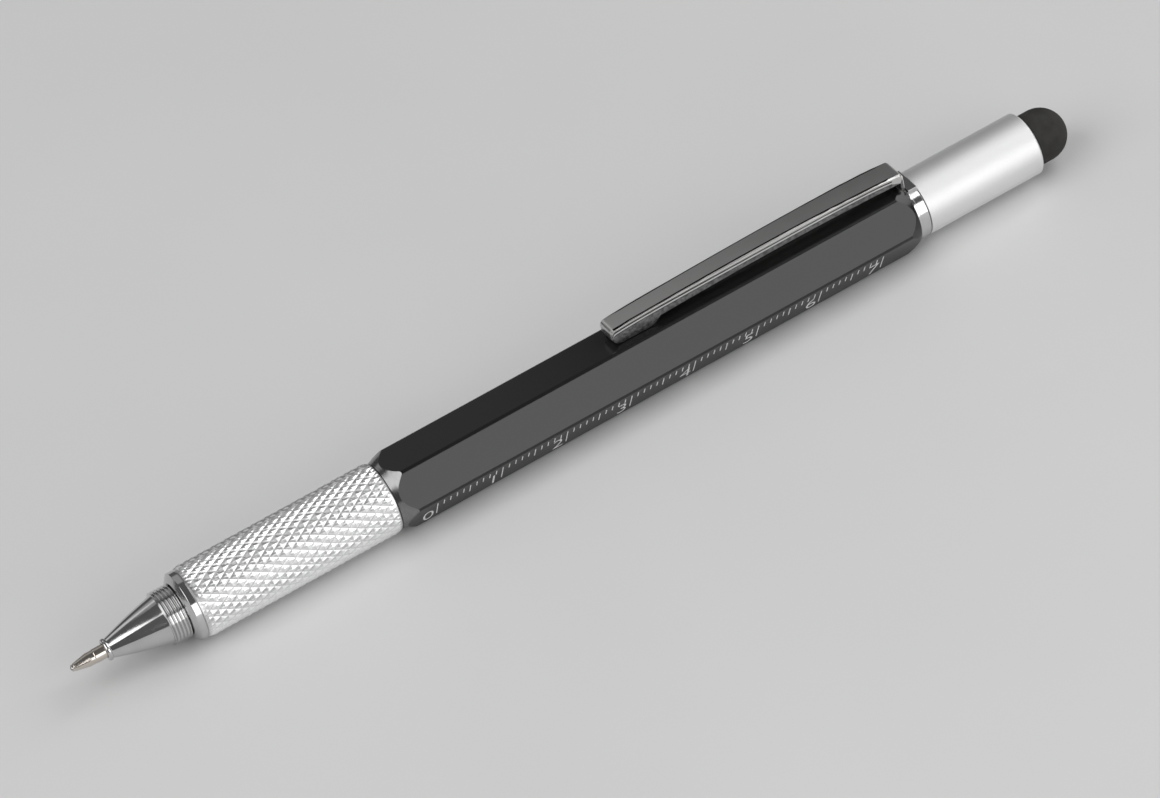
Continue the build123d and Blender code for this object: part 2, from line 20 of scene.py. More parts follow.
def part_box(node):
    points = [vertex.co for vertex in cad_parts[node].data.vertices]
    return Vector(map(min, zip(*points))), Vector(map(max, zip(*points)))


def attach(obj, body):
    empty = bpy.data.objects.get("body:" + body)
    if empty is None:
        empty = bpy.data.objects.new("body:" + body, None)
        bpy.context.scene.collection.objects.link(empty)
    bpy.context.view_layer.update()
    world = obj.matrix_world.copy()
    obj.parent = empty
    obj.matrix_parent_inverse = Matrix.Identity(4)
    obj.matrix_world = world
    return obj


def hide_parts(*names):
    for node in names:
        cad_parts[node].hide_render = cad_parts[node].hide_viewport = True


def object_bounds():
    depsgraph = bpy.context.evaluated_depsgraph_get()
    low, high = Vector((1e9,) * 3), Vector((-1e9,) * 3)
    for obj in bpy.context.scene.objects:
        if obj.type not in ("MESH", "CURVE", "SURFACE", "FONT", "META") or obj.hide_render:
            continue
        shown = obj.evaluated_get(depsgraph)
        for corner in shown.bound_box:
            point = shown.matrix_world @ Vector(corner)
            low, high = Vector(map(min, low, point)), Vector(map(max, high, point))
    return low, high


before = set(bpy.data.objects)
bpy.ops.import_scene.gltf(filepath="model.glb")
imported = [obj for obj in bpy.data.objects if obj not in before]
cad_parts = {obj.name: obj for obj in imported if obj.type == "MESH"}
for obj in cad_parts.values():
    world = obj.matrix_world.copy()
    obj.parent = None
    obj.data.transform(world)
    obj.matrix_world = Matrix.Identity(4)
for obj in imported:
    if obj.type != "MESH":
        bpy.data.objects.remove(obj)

log = logging.getLogger("pen")

Color = tuple[float, float, float, float]
Ring = tuple[float, float]
Piece = bpy.types.Object
Face = bpy.types.MeshPolygon
Material = bpy.types.Material

# Metres in a millimetre, and the distance in millimetres within which places count as one.
MM = 0.001
NEAR = 0.0005
# The angle in degrees up to which a node's faces are joined into one flat.
FLAT_ANGLE = 0.4
# The frame's box in metres, and the height of the pen's axis over the floor in millimetres.
CAD_LOW, CAD_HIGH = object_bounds()
AXIS_HEIGHT = sum(corner.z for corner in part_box("grip_sleeve")) / 2 / MM
# The knurl's radii in millimetres, for its mesh and its finish.
KNURL_CREST = 5.12
KNURL_VALLEY = 4.88
# The marks on faces that finishes read.
BARE_METAL = "bare_metal"
# The skirt's mark carries hammer dents and painted shade.
HAMMERED_AND_SHADED = "hammered_and_shaded"
# The grooves' mark carries painted shade.
GROOVE_SHADE = "groove_shade"


class Body(Enum):
    """The bodies of the frame that pieces ride on."""

    BARREL = "barrel"
    GRIP = "grip"
    NOSE = "nose"
    CARRIER = "carrier"
    REFILL = "refill"
    CLIP = "clip"
    CAP = "cap"
    BIT = "bit"


class Slot(Enum):
    """The finishes that the record names."""

    LACQUER = "gloss_lacquer"
    KNURL = "knurled_aluminium"
    CAP = "satin_aluminium"
    CHROME = "polished_chrome"
    CLIP = "satin_chrome"
    STYLUS = "stylus_rubber"
    BRASS = "brass"
    MECHANISM = "mechanism_steel"
    ACETAL = "white_acetal"
    SEAL = "seal_rubber"
    PLASTIC = "black_plastic"
    CARBIDE = "carbide_ball"
    NICKEL = "refill_nickel"
    REFILL = "refill_steel"
    PLUG = "refill_plastic"
    SOCKET = "socket_steel"
    MAGNET = "magnet_nickel"
    BIT = "bit_steel"
    ACRYLIC = "clear_acrylic"
    LIQUID = "level_liquid"


def start_of(node: str) -> float:
    """The station of a node's front end, in millimetres."""
    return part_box(node)[0].x / MM


def end_of(node: str) -> float:
    """The station of a node's rear end, in millimetres."""
    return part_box(node)[1].x / MM


def top_of(node: str) -> float:
    """The height of a node's top, in millimetres."""
    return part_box(node)[1].z / MM


def radius_at(place: Vector) -> float:
    """How far a place is from the pen's axis, in millimetres."""
    return math.hypot(place.y, place.z - AXIS_HEIGHT)


def shares(count: int) -> list[float]:
    """The shares from 0 to 1 in equal steps, with both ends."""
    return [step / count for step in range(count + 1)]


# Shader maths


class Signal:
    """A socket's value in a node tree, with the operators of shader maths."""

    def __init__(self, kit: "NodeKit", socket: bpy.types.NodeSocket) -> None:
        self.kit = kit
        self.socket = socket

    def __add__(self, other: "Signal | float") -> "Signal":
        """This value plus another."""
        return self.kit.maths("ADD", self, other)

    def __sub__(self, other: "Signal | float") -> "Signal":
        """This value minus another."""
        return self.kit.maths("SUBTRACT", self, other)

    def __rsub__(self, other: float) -> "Signal":
        """A number minus this value."""
        return self.kit.maths("SUBTRACT", other, self)

    def __mul__(self, other: "Signal | float") -> "Signal":
        """This value times another."""
        return self.kit.maths("MULTIPLY", self, other)

    def __truediv__(self, other: "Signal | float") -> "Signal":
        """This value divided by another."""
        return self.kit.maths("DIVIDE", self, other)

    def __rtruediv__(self, other: float) -> "Signal":
        """A number divided by this value."""
        return self.kit.maths("DIVIDE", other, self)

    __radd__ = __add__
    __rmul__ = __mul__

    def ramp(self, low: float, high: float) -> "Signal":
        """0 at and below low, 1 at and above high, and straight between them."""
        return self.kit.maths("ADD", (self - low) / (high - low), 0.0, clamp=True)


class NodeKit:
    """Builds one material's node tree."""

    def __init__(self, name: str) -> None:
        """Makes an empty material.

        Args:
            name: The material's name.
        """
        self.material = bpy.data.materials.new(name)
        self.material.use_nodes = True
        self.tree = self.material.node_tree
        self.tree.nodes.clear()

    def node(
        self, kind: str, inputs: dict[str | int, Any], output: str | int = 0, **settings: Any
    ) -> Signal:
        """Adds a node of any type.

        Args:
            kind: The node's type, without its ShaderNode prefix.
            inputs: Values or signals for its sockets, by name or place.
            output: The output socket that is used, by name or place.
            settings: Attributes of the node, which are set first.

        Returns:
            The value of the output socket.
        """
        made = self.tree.nodes.new("ShaderNode" + kind)
        for key, value in settings.items():
            setattr(made, key, value)
        for key, value in inputs.items():
            if isinstance(value, Signal):
                self.tree.links.new(value.socket, made.inputs[key])
            else:
                made.inputs[key].default_value = value
        return Signal(self, made.outputs[output])

    def maths(self, operation: str, *values: Signal | float, clamp: bool = False) -> Signal:
        """The result of a Math node, held between 0 and 1 if clamp is set."""
        return self.node("Math", dict(enumerate(values)), operation=operation, use_clamp=clamp)

    def blend(self, share: Signal | float, first: Any, second: Any) -> Signal:
        """Mixes two colours, with a share of the second one."""
        return self.node("Mix", {0: share, 6: first, 7: second}, output=2, data_type="RGBA")

    def tone(self, share: Signal, level: float, warmth: float = 0.0, dark: float = 0.93) -> Signal:
        """A grey of a level, and darker by a factor where the share is low."""
        return self.blend(share.ramp(0.3, 0.7), grey(level * dark, warmth), grey(level, warmth))

    def place(self, along: float = 1.0) -> Signal:
        """The place on the object in millimetres from the pen's axis.

        Args:
            along: How much a pattern is pressed together along the pen.

        Returns:
            The place as a vector.
        """
        move = (0.0, 0.0, -AXIS_HEIGHT)
        scale = (along / MM, 1 / MM, 1 / MM)
        inner = self.node("TexCoord", {}, output="Object")
        return self.node("Mapping", {0: inner, "Location": move, "Scale": scale})

    def split(self, vector: Signal) -> list[Signal]:
        """The three parts of a vector."""
        outputs = self.node("SeparateXYZ", {0: vector}).socket.node.outputs
        return [Signal(self, socket) for socket in outputs]

    def radius(self) -> Signal:
        """The distance from the pen's axis, in millimetres."""
        _, side, height = self.split(self.place())
        return self.maths("SQRT", side * side + height * height)

    def round_place(self, around: float) -> Signal:
        """The place for patterns that follow a turned surface, stretched long round the axis.

        Args:
            around: How many millimetres of pattern a full turn holds.

        Returns:
            A vector of the station with the radius, and the place on a small circle.
        """
        station, side, height = self.split(self.place())
        radius = self.radius()
        share = around / math.tau / (radius + NEAR)
        return self.node("CombineXYZ", {0: station + radius, 1: side * share, 2: height * share})

    def mark(self, name: str) -> Signal:
        """The value of a mark that was made on the faces."""
        return self.node(
            "Attribute", {}, output="Fac", attribute_name=name, attribute_type="GEOMETRY"
        )

    def noise(
        self, size: float, detail: float = 3.0, rough: float = 0.5, place: Signal | None = None
    ) -> Signal:
        """Noise between about 0.3 and 0.7.

        Args:
            size: The size of its features in millimetres.
            detail: How many finer layers it has.
            rough: How strong the finer layers are.
            place: Where it is read, if not at the plain place.

        Returns:
            The noise's value.
        """
        place = place or self.place()
        inputs = {"Vector": place, "Scale": 1 / size, "Detail": detail, "Roughness": rough}
        return self.node("TexNoise", inputs, output="Fac")

    def grain(self, size: float, place: Signal | None = None) -> Signal:
        """Rough noise of a size in millimetres, for the grain of a finish."""
        return self.noise(size, detail=4.0, rough=0.6, place=place)

    def bump(self, height: Signal, depth: float) -> Signal:
        """A normal bent by a height from 0 to 1, of which 1 stands for a depth in millimetres."""
        return self.node("Bump", {"Height": height, "Distance": depth * MM, "Strength": 1.0})

    def surface(self, **inputs: Any) -> Material:
        """Ends the tree with a principled surface.

        Args:
            inputs: Its sockets, with underscores for spaces.

        Returns:
            The finished material.
        """
        named = {key.replace("_", " "): value for key, value in inputs.items()}
        output = self.tree.nodes.new("ShaderNodeOutputMaterial")
        shader = self.node("BsdfPrincipled", named)
        self.tree.links.new(shader.socket, output.inputs["Surface"])
        return self.material


def grey(level: float, warmth: float = 0.0) -> Color:
    """A grey as a colour, warmer or cooler by a share of its level."""
    return (level * (1 + warmth), level, level * (1 - warmth), 1.0)


def shaded(color: Color, factor: float, lift: float = 0.0) -> Color:
    """A colour times a factor, lifted by an even amount."""
    return tuple(part * factor + lift for part in color[:3]) + (1.0,)


# Finishes


@dataclass(frozen=True)
class Finish:
    """What the finishes share: a name, and a material that each kind builds its own way."""

    name: str

    def material(self) -> Material:
        """Builds the material."""
        raise NotImplementedError


@dataclass(frozen=True)
class TurnedMetal(Finish):
    """Plated or bare metal off the lathe, with fine tool marks round the axis."""

    level: float
    roughness: float
    warmth: float = 0.0
    mark_depth: float = 0.002
    mark_size: float = 0.08
    haze: float = 0.06

    def material(self) -> Material:
        """Builds the material.

        Returns:
            Metal with tool marks, slightly cloudy and dusty.
        """
        kit = NodeKit(self.name)
        marks = kit.noise(self.mark_size, detail=2.0, place=kit.round_place(around=4.0))
        cloud = kit.noise(size=2.4)
        dust = kit.noise(size=0.35, detail=5.0, rough=0.65).ramp(0.45, 0.75)
        return kit.surface(
            Base_Color=kit.tone(cloud, self.level, self.warmth, dark=0.94),
            Metallic=1.0,
            Roughness=self.roughness + self.haze * (cloud * 0.6 + dust * 0.5),
            Normal=kit.bump(marks, self.mark_depth),
        )


@dataclass(frozen=True)
class SatinMetal(Finish):
    """Blasted and anodised metal with a soft, even sheen."""

    level: float = 0.84
    roughness: float = 0.52
    grain_size: float = 0.09
    grain_depth: float = 0.006

    def material(self) -> Material:
        """Builds the material.

        Returns:
            Metal with an even grain.
        """
        kit = NodeKit(self.name)
        grain = kit.grain(self.grain_size)
        return kit.surface(
            Base_Color=kit.tone(grain, self.level),
            Metallic=1.0,
            Roughness=self.roughness + 0.06 * kit.noise(size=3.0),
            Normal=kit.bump(grain, self.grain_depth),
        )


@dataclass(frozen=True)
class ClipMetal(Finish):
    """Satin plating on the clip's plate; its skirt is dented by hammering and darker with painted
    shade, and its grooves are dark with painted shade.
    """

    level: float = 0.62
    warmth: float = 0.01
    roughness: float = 0.27
    # painted shade: the dark grey of the skirt
    hammered_level: float = 0.19
    # painted shade: the near black of the grooves
    sunk_level: float = 0.015
    foot_end: float = 14.0
    foot_fade: float = 8.0
    dent_size: float = 0.5
    dent_depth: float = 0.03
    grain_share: float = 0.1

    def material(self) -> Material:
        """Builds the material.

        Returns:
            Metal that follows the marks on the clip's faces, with painted shade on its skirt and in
            its grooves, and deep dents at its foot only.
        """
        kit = NodeKit(self.name)
        hammered_and_shaded, groove_shade = kit.mark(HAMMERED_AND_SHADED), kit.mark(GROOVE_SHADE)
        station, _, _ = kit.split(kit.place())
        beating = hammered_and_shaded * (1 - 0.8 * station.ramp(self.foot_end, self.foot_end + self.foot_fade))
        grain = kit.grain(size=0.09, place=kit.place(along=0.3))
        dents = kit.noise(self.dent_size, rough=0.6)
        # painted shade: the skirt is coloured a dark grey, varied by the dents
        dark, light = grey(self.hammered_level * 0.6), grey(self.hammered_level * 1.3)
        beaten_and_shaded = kit.blend(dents.ramp(0.38, 0.62), dark, light)
        metal = kit.blend(hammered_and_shaded, kit.tone(grain, self.level, self.warmth), beaten_and_shaded)
        height = grain * (1 - hammered_and_shaded) * self.grain_share + dents * beating
        return kit.surface(
            # painted shade: the grooves' faces are coloured near black
            Base_Color=kit.blend(groove_shade, metal, grey(self.sunk_level)),
            Metallic=1.0,
            Roughness=self.roughness + 0.06 * (kit.noise(size=3.0) + hammered_and_shaded) + 0.5 * groove_shade,
            Normal=kit.bump(height, self.dent_depth),
        )


@dataclass(frozen=True)
class KnurledMetal(Finish):
    """Bright aluminium with polished knurl tips, and painted shade that darkens the grooves between
    them.
    """

    tip_level: float = 0.96
    groove_level: float = 0.72
    groove_share: float = 0.22

    def material(self) -> Material:
        """Builds the material.

        Returns:
            Metal with painted shade that darkens towards the knurl's grooves.
        """
        kit = NodeKit(self.name)
        rise = kit.radius().ramp(KNURL_VALLEY, KNURL_CREST)
        grain = kit.grain(size=0.07)
        # painted shade: the colour darkens from the knurl's tips down into its grooves
        shade = (1 - rise.ramp(0.0, self.groove_share)) * (0.7 + 0.6 * grain)
        tip, groove = grey(self.tip_level), grey(self.groove_level)
        return kit.surface(
            Base_Color=kit.blend(shade.ramp(0.0, 1.0), tip, groove),
            Metallic=1.0,
            Roughness=0.27 - 0.03 * rise + 0.08 * grain,
            Normal=kit.bump(grain, 0.006),
        )


@dataclass(frozen=True)
class BarrelLacquer(Finish):
    """Deep black lacquer, turned off to bare metal on the chamfer behind the grip."""

    black: float = 0.008
    dusty: float = 0.04
    bare_level: float = 0.27
    bare_roughness: float = 0.16

    def material(self) -> Material:
        """Builds the material.

        Returns:
            Lacquer with faint dust, and turned metal where the faces are marked as bare.
        """
        kit = NodeKit(self.name)
        bare = kit.mark(BARE_METAL)
        peel = kit.noise(size=0.9, detail=2.0)
        cloud = kit.noise(size=5.0, place=kit.place(along=0.4))
        dust = kit.noise(size=0.12, detail=5.0, rough=0.7).ramp(0.58, 0.74)
        marks = kit.noise(size=0.10, detail=2.0, place=kit.round_place(around=3.0))
        paint = kit.blend(dust * 0.2, grey(self.black), grey(self.dusty))
        shade = marks.ramp(0.35, 0.65)
        metal = kit.blend(shade, grey(self.bare_level * 0.8), grey(self.bare_level))
        painted = 0.16 + 0.06 * cloud + 0.05 * dust
        turned = self.bare_roughness + 0.1 * marks
        return kit.surface(
            Base_Color=kit.blend(bare, paint, metal),
            Metallic=bare,
            Roughness=painted + bare * (turned - painted),
            Normal=kit.bump(peel * (1 - bare) + marks * bare * 0.5, 0.004),
            IOR=1.5,
        )


@dataclass(frozen=True)
class Moulded(Finish):
    """A moulded plastic or rubber with a fine grain."""

    color: Color
    roughness: float
    grain_size: float = 0.12
    grain_depth: float = 0.01
    specular: float = 0.5
    wear: float = 0.25
    wear_lift: float = 0.004

    def material(self) -> Material:
        """Builds the material.

        Returns:
            A grained surface, slightly paler in worn patches.
        """
        kit = NodeKit(self.name)
        grain = kit.grain(self.grain_size)
        worn = shaded(self.color, 1 + self.wear, self.wear_lift)
        return kit.surface(
            Base_Color=kit.blend(kit.noise(size=1.8).ramp(0.35, 0.65), self.color, worn),
            Roughness=self.roughness + 0.08 * (grain - 0.5),
            Specular_IOR_Level=self.specular,
            Normal=kit.bump(grain, self.grain_depth),
        )


@dataclass(frozen=True)
class RulerInk(Finish):
    """White printed marks with slightly uneven cover."""

    thin: float = 0.52
    full: float = 0.86

    def material(self) -> Material:
        """Builds the material.

        Returns:
            Matt ink.
        """
        kit = NodeKit(self.name)
        cover = kit.noise(size=0.16, detail=4.0, rough=0.7)
        ink = kit.blend(cover.ramp(0.3, 0.62), grey(self.thin), grey(self.full))
        return kit.surface(Base_Color=ink, Roughness=0.5 + 0.1 * cover)


@dataclass(frozen=True)
class Clear(Finish):
    """A clear moulding or liquid, with faint waviness and, in the dyed liquid and its bubble, a faint
    painted glow that stands in for light.
    """

    color: Color
    ior: float
    roughness: float = 0.02
    glow: float = 0.0
    wave_shade: float = 0.93

    def material(self) -> Material:
        """Builds the material.

        Returns:
            A clear surface.
        """
        kit = NodeKit(self.name)
        wave = kit.noise(size=1.6, detail=1.0)
        deeper = shaded(self.color, self.wave_shade)
        return kit.surface(
            Base_Color=kit.blend(wave.ramp(0.35, 0.65), self.color, deeper),
            Roughness=self.roughness + 0.02 * wave,
            IOR=self.ior,
            Transmission_Weight=1.0,
            # painted light: the emission makes the liquid glow though it is no lamp
            Emission_Color=self.color,
            Emission_Strength=self.glow,
            Normal=kit.bump(wave, 0.004),
        )


INK = RulerInk("ruler_ink")
# painted light: the bubble glows
AIR = Clear("bubble_air", (0.90, 1.0, 0.70, 1.0), ior=0.75, glow=0.22)
FINISHES: dict[Slot, Finish] = {
    Slot.LACQUER: BarrelLacquer("barrel_lacquer"),
    Slot.KNURL: KnurledMetal("knurled_aluminium"),
    Slot.CAP: SatinMetal("satin_aluminium"),
    Slot.CHROME: TurnedMetal("chrome", level=0.60, roughness=0.07, mark_depth=0.003, haze=0.09),
    Slot.CLIP: ClipMetal("satin_chrome"),
    Slot.STYLUS: Moulded(
        "stylus_rubber", (0.026, 0.025, 0.023, 1.0), roughness=0.82, specular=0.25
    ),
    Slot.BRASS: TurnedMetal("brass", level=0.58, roughness=0.2, warmth=0.3),
    Slot.MECHANISM: TurnedMetal("mechanism_steel", level=0.55, roughness=0.25),
    Slot.ACETAL: Moulded("white_acetal", (0.78, 0.78, 0.76, 1.0), roughness=0.42, wear=0.05),
    Slot.SEAL: Moulded("seal_rubber", (0.03, 0.03, 0.03, 1.0), roughness=0.7),
    Slot.PLASTIC: Moulded("black_plastic", (0.02, 0.02, 0.022, 1.0), roughness=0.45),
    Slot.CARBIDE: TurnedMetal("carbide", level=0.45, roughness=0.08),
    Slot.NICKEL: TurnedMetal("refill_nickel", level=0.60, roughness=0.16, warmth=0.09),
    Slot.REFILL: TurnedMetal("refill_steel", level=0.60, roughness=0.22),
    Slot.PLUG: Moulded("refill_stopper", (0.05, 0.08, 0.25, 1.0), roughness=0.4),
    Slot.SOCKET: TurnedMetal("socket_steel", level=0.56, roughness=0.22, mark_depth=0.003),
    Slot.MAGNET: TurnedMetal("magnet_nickel", level=0.68, roughness=0.12, warmth=0.02),
    Slot.BIT: TurnedMetal("bit_steel", level=0.42, roughness=0.3, mark_depth=0.003),
    Slot.ACRYLIC: Clear("clear_acrylic", (0.92, 0.97, 0.95, 1.0), ior=1.49),
    # painted light: the liquid glows
    Slot.LIQUID: Clear("level_fluid", (0.50, 0.85, 0.06, 1.0), ior=1.33, glow=0.20),
}


@cache
def material_of(finish: Finish) -> Material:
    """A finish's material, which is built once."""
    return finish.material()


# Modelling


def pick(piece: Piece | None) -> None:
    """Makes a piece the only selected and active one, in object mode.

    Args:
        piece: The piece, or None to leave nothing selected.
    """
    if bpy.context.object is not None and bpy.context.object.mode != "OBJECT":
        bpy.ops.object.mode_set(mode="OBJECT")
    bpy.ops.object.select_all(action="DESELECT")
    if piece is not None:
        piece.select_set(True)
        bpy.context.view_layer.objects.active = piece


@contextmanager
def editing(piece: Piece, action: str = "SELECT") -> Iterator[None]:
    """Holds a piece in edit mode.

    Args:
        piece: The piece.
        action: What is done first to the selection of its parts.

    Yields:
        Nothing, once edit mode is on.
    """
    pick(piece)
    bpy.ops.object.mode_set(mode="EDIT")
    bpy.ops.mesh.select_all(action=action)
    yield
    bpy.ops.object.mode_set(mode="OBJECT")


def select_vertices(piece: Piece, chosen: Callable[[Vector], bool], mode: str = "VERT") -> None:
    """Selects the vertices of a piece in edit mode by their place.

    Args:
        piece: The piece, which is the active one.
        chosen: Whether a place is selected.
        mode: The selection mode that it ends in.
    """
    bpy.ops.object.mode_set(mode="OBJECT")
    for vertex in piece.data.vertices:
        vertex.select = chosen(vertex.co)
    bpy.ops.object.mode_set(mode="EDIT")
    bpy.ops.mesh.select_mode(type="VERT")
    if mode != "VERT":
        bpy.ops.mesh.select_mode(type=mode)


def primitive(name: str, add: Callable[..., Any], **settings: Any) -> Piece:
    """Adds a primitive mesh with its place and turn in its mesh.

    Args:
        name: The piece's name.
        add: The operator that adds it.
        settings: The operator's settings.

    Returns:
        The piece.
    """
    pick(None)
    add(**settings)
    piece = bpy.context.object
    piece.name = piece.data.name = name
    bpy.ops.object.transform_apply(location=True, rotation=True, scale=True)
    return piece


def copy_of(piece: Piece, name: str) -> Piece:
    """A copy of a piece with its own mesh.

    Args:
        piece: The piece.
        name: The copy's name.

    Returns:
        The copy.
    """
    made = bpy.data.objects.new(name, piece.data.copy())
    bpy.context.scene.collection.objects.link(made)
    return made


def extrude(move: Sequence[float]) -> None:
    """Extrudes the selected faces by a move in millimetres."""
    bpy.ops.mesh.extrude_region_move(TRANSFORM_OT_translate={"value": move})


def turn_out(piece: Piece) -> None:
    """Points every face of a closed piece outwards."""
    with editing(piece):
        bpy.ops.mesh.normals_make_consistent(inside=False)


def apply_modifier(piece: Piece, kind: str, **settings: Any) -> None:
    """Adds a modifier to a piece and applies it.

    Args:
        piece: The piece.
        kind: The modifier's type.
        settings: Its attributes.
    """
    pick(piece)
    bpy.ops.object.modifier_add(type=kind)
    modifier = piece.modifiers[-1]
    for key, value in settings.items():
        setattr(modifier, key, value)
    bpy.ops.object.modifier_apply(modifier=modifier.name)


def cut(piece: Piece, cutter: Piece) -> None:
    """Cuts a closed piece out of another and removes it."""
    apply_modifier(piece, "BOOLEAN", operation="DIFFERENCE", solver="EXACT", object=cutter)
    bpy.data.objects.remove(cutter)


def break_edges(piece: Piece, width: float, angle: float = 30.0) -> None:
    """Rounds every edge that is sharper than an angle, by a width in millimetres."""
    limit = {"limit_method": "ANGLE", "angle_limit": math.radians(angle)}
    apply_modifier(piece, "BEVEL", width=width, segments=2, use_clamp_overlap=True, **limit)


def smooth(piece: Piece, angle: float = 35.0) -> None:
    """Shades a piece smooth, with its flats kept flat.

    Args:
        piece: The piece.
        angle: The angle over which an edge stays sharp, in degrees.
    """
    pick(piece)
    bpy.ops.object.shade_smooth_by_angle(angle=math.radians(angle))
    apply_modifier(piece, "WEIGHTED_NORMAL", keep_sharp=True, weight=50)


def mark_faces(piece: Piece, name: str, chosen: Callable[[Face], bool]) -> None:
    """Marks the chosen faces of a piece with 1 and the others with 0.

    Args:
        piece: The piece.
        name: The mark's name.
        chosen: Whether a face is marked.
    """
    mark = piece.data.attributes.new(name, "FLOAT", "FACE")
    for face in piece.data.polygons:
        mark.data[face.index].value = float(chosen(face))


def refined(node: str, name: str, edge: float = 0.0, sharp: float = 35.0) -> Piece:
    """A copy of a node in millimetres, merged and with its flats joined, ready for a finish.

    Args:
        node: The node that is copied.
        name: The copy's name.
        edge: How far its sharp edges are rounded, in millimetres.
        sharp: The angle over which an edge counts as sharp, in degrees.

    Returns:
        The copy.
    """
    piece = copy_of(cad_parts[node], name)
    piece.data.transform(Matrix.Scale(1 / MM, 4))
    with editing(piece):
        bpy.ops.mesh.remove_doubles(threshold=NEAR)
        bpy.ops.mesh.dissolve_limited(angle_limit=math.radians(FLAT_ANGLE))
    if edge:
        break_edges(piece, edge, angle=sharp)
    smooth(piece, angle=sharp)
    return piece


def settle(
    piece: Piece, body: Body, slot: Slot, *nodes: str, finish: Finish | None = None
) -> None:
    """Brings a finished piece from millimetres to metres and puts it on its body.

    Args:
        piece: The finished piece, modelled in millimetres.
        body: The body that it rides on.
        slot: The record's finish that it has.
        nodes: The nodes that it stands for.
        finish: Its own finish, if it isn't the plain one of its slot.
    """
    pick(None)
    piece.data.transform(Matrix.Scale(MM, 4) @ piece.matrix_world)
    piece.matrix_world = Matrix.Identity(4)
    piece.data.materials.clear()
    piece.data.materials.append(material_of(finish or FINISHES[slot]))
    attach(piece, body.value)
    if nodes:
        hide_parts(*nodes)
    log.info("%s: %d faces on %s", piece.name, len(piece.data.polygons), body.value)


def dress_copy(node: str, name: str, body: Body, slot: Slot, edge: float = 0.0) -> None:
    """Puts a refined copy of a node in its place."""
    settle(refined(node, name, edge=edge), body, slot, node)


@dataclass(frozen=True)
class Turning:
    """A piece turned about the pen's axis, made ring by ring."""

    name: str
    rings: Sequence[Ring]
    hollow: bool = False
    segments: int = 96
    edge: float = 0.05

    def build(self) -> Piece:
        """Extrudes a circle from ring to ring and closes it.

        Returns:
            The turned piece, in millimetres.
        """
        station, radius = self.rings[0]
        piece = primitive(
            self.name,
            bpy.ops.mesh.primitive_circle_add,
            vertices=self.segments,
            radius=radius,
            fill_type="NOTHING",
            location=(station, 0, AXIS_HEIGHT),
            rotation=(0, math.pi / 2, 0),
        )
        with editing(piece):
            for next_station, next_radius in self.rings[1:]:
                move, share = (next_station - station, 0, 0), next_radius / radius
                middle = (next_station, 0, AXIS_HEIGHT)
                bpy.ops.mesh.extrude_edges_move(TRANSFORM_OT_translate={"value": move})
                bpy.ops.transform.resize(value=(1, share, share), center_override=middle)
                station, radius = next_station, next_radius
            if not self.hollow:
                bpy.ops.mesh.edge_face_add()
            select_vertices(piece, self.at_end, mode="EDGE")
            if self.hollow:
                bpy.ops.mesh.bridge_edge_loops()
            else:
                bpy.ops.mesh.edge_face_add()
        turn_out(piece)
        if self.edge:
            break_edges(piece, self.edge)
        smooth(piece)
        return piece

    def at_end(self, place: Vector) -> bool:
        """Whether a place is on the first ring, or on the last one of a hollow piece.

        Args:
            place: The place, in millimetres.

        Returns:
            True on such a ring.
        """
        ends = (self.rings[0], self.rings[-1]) if self.hollow else self.rings[:1]
        gaps = (abs(place.x - end[0]) + abs(radius_at(place) - end[1]) for end in ends)
        return min(gaps) < NEAR


# The pen's sub-assemblies


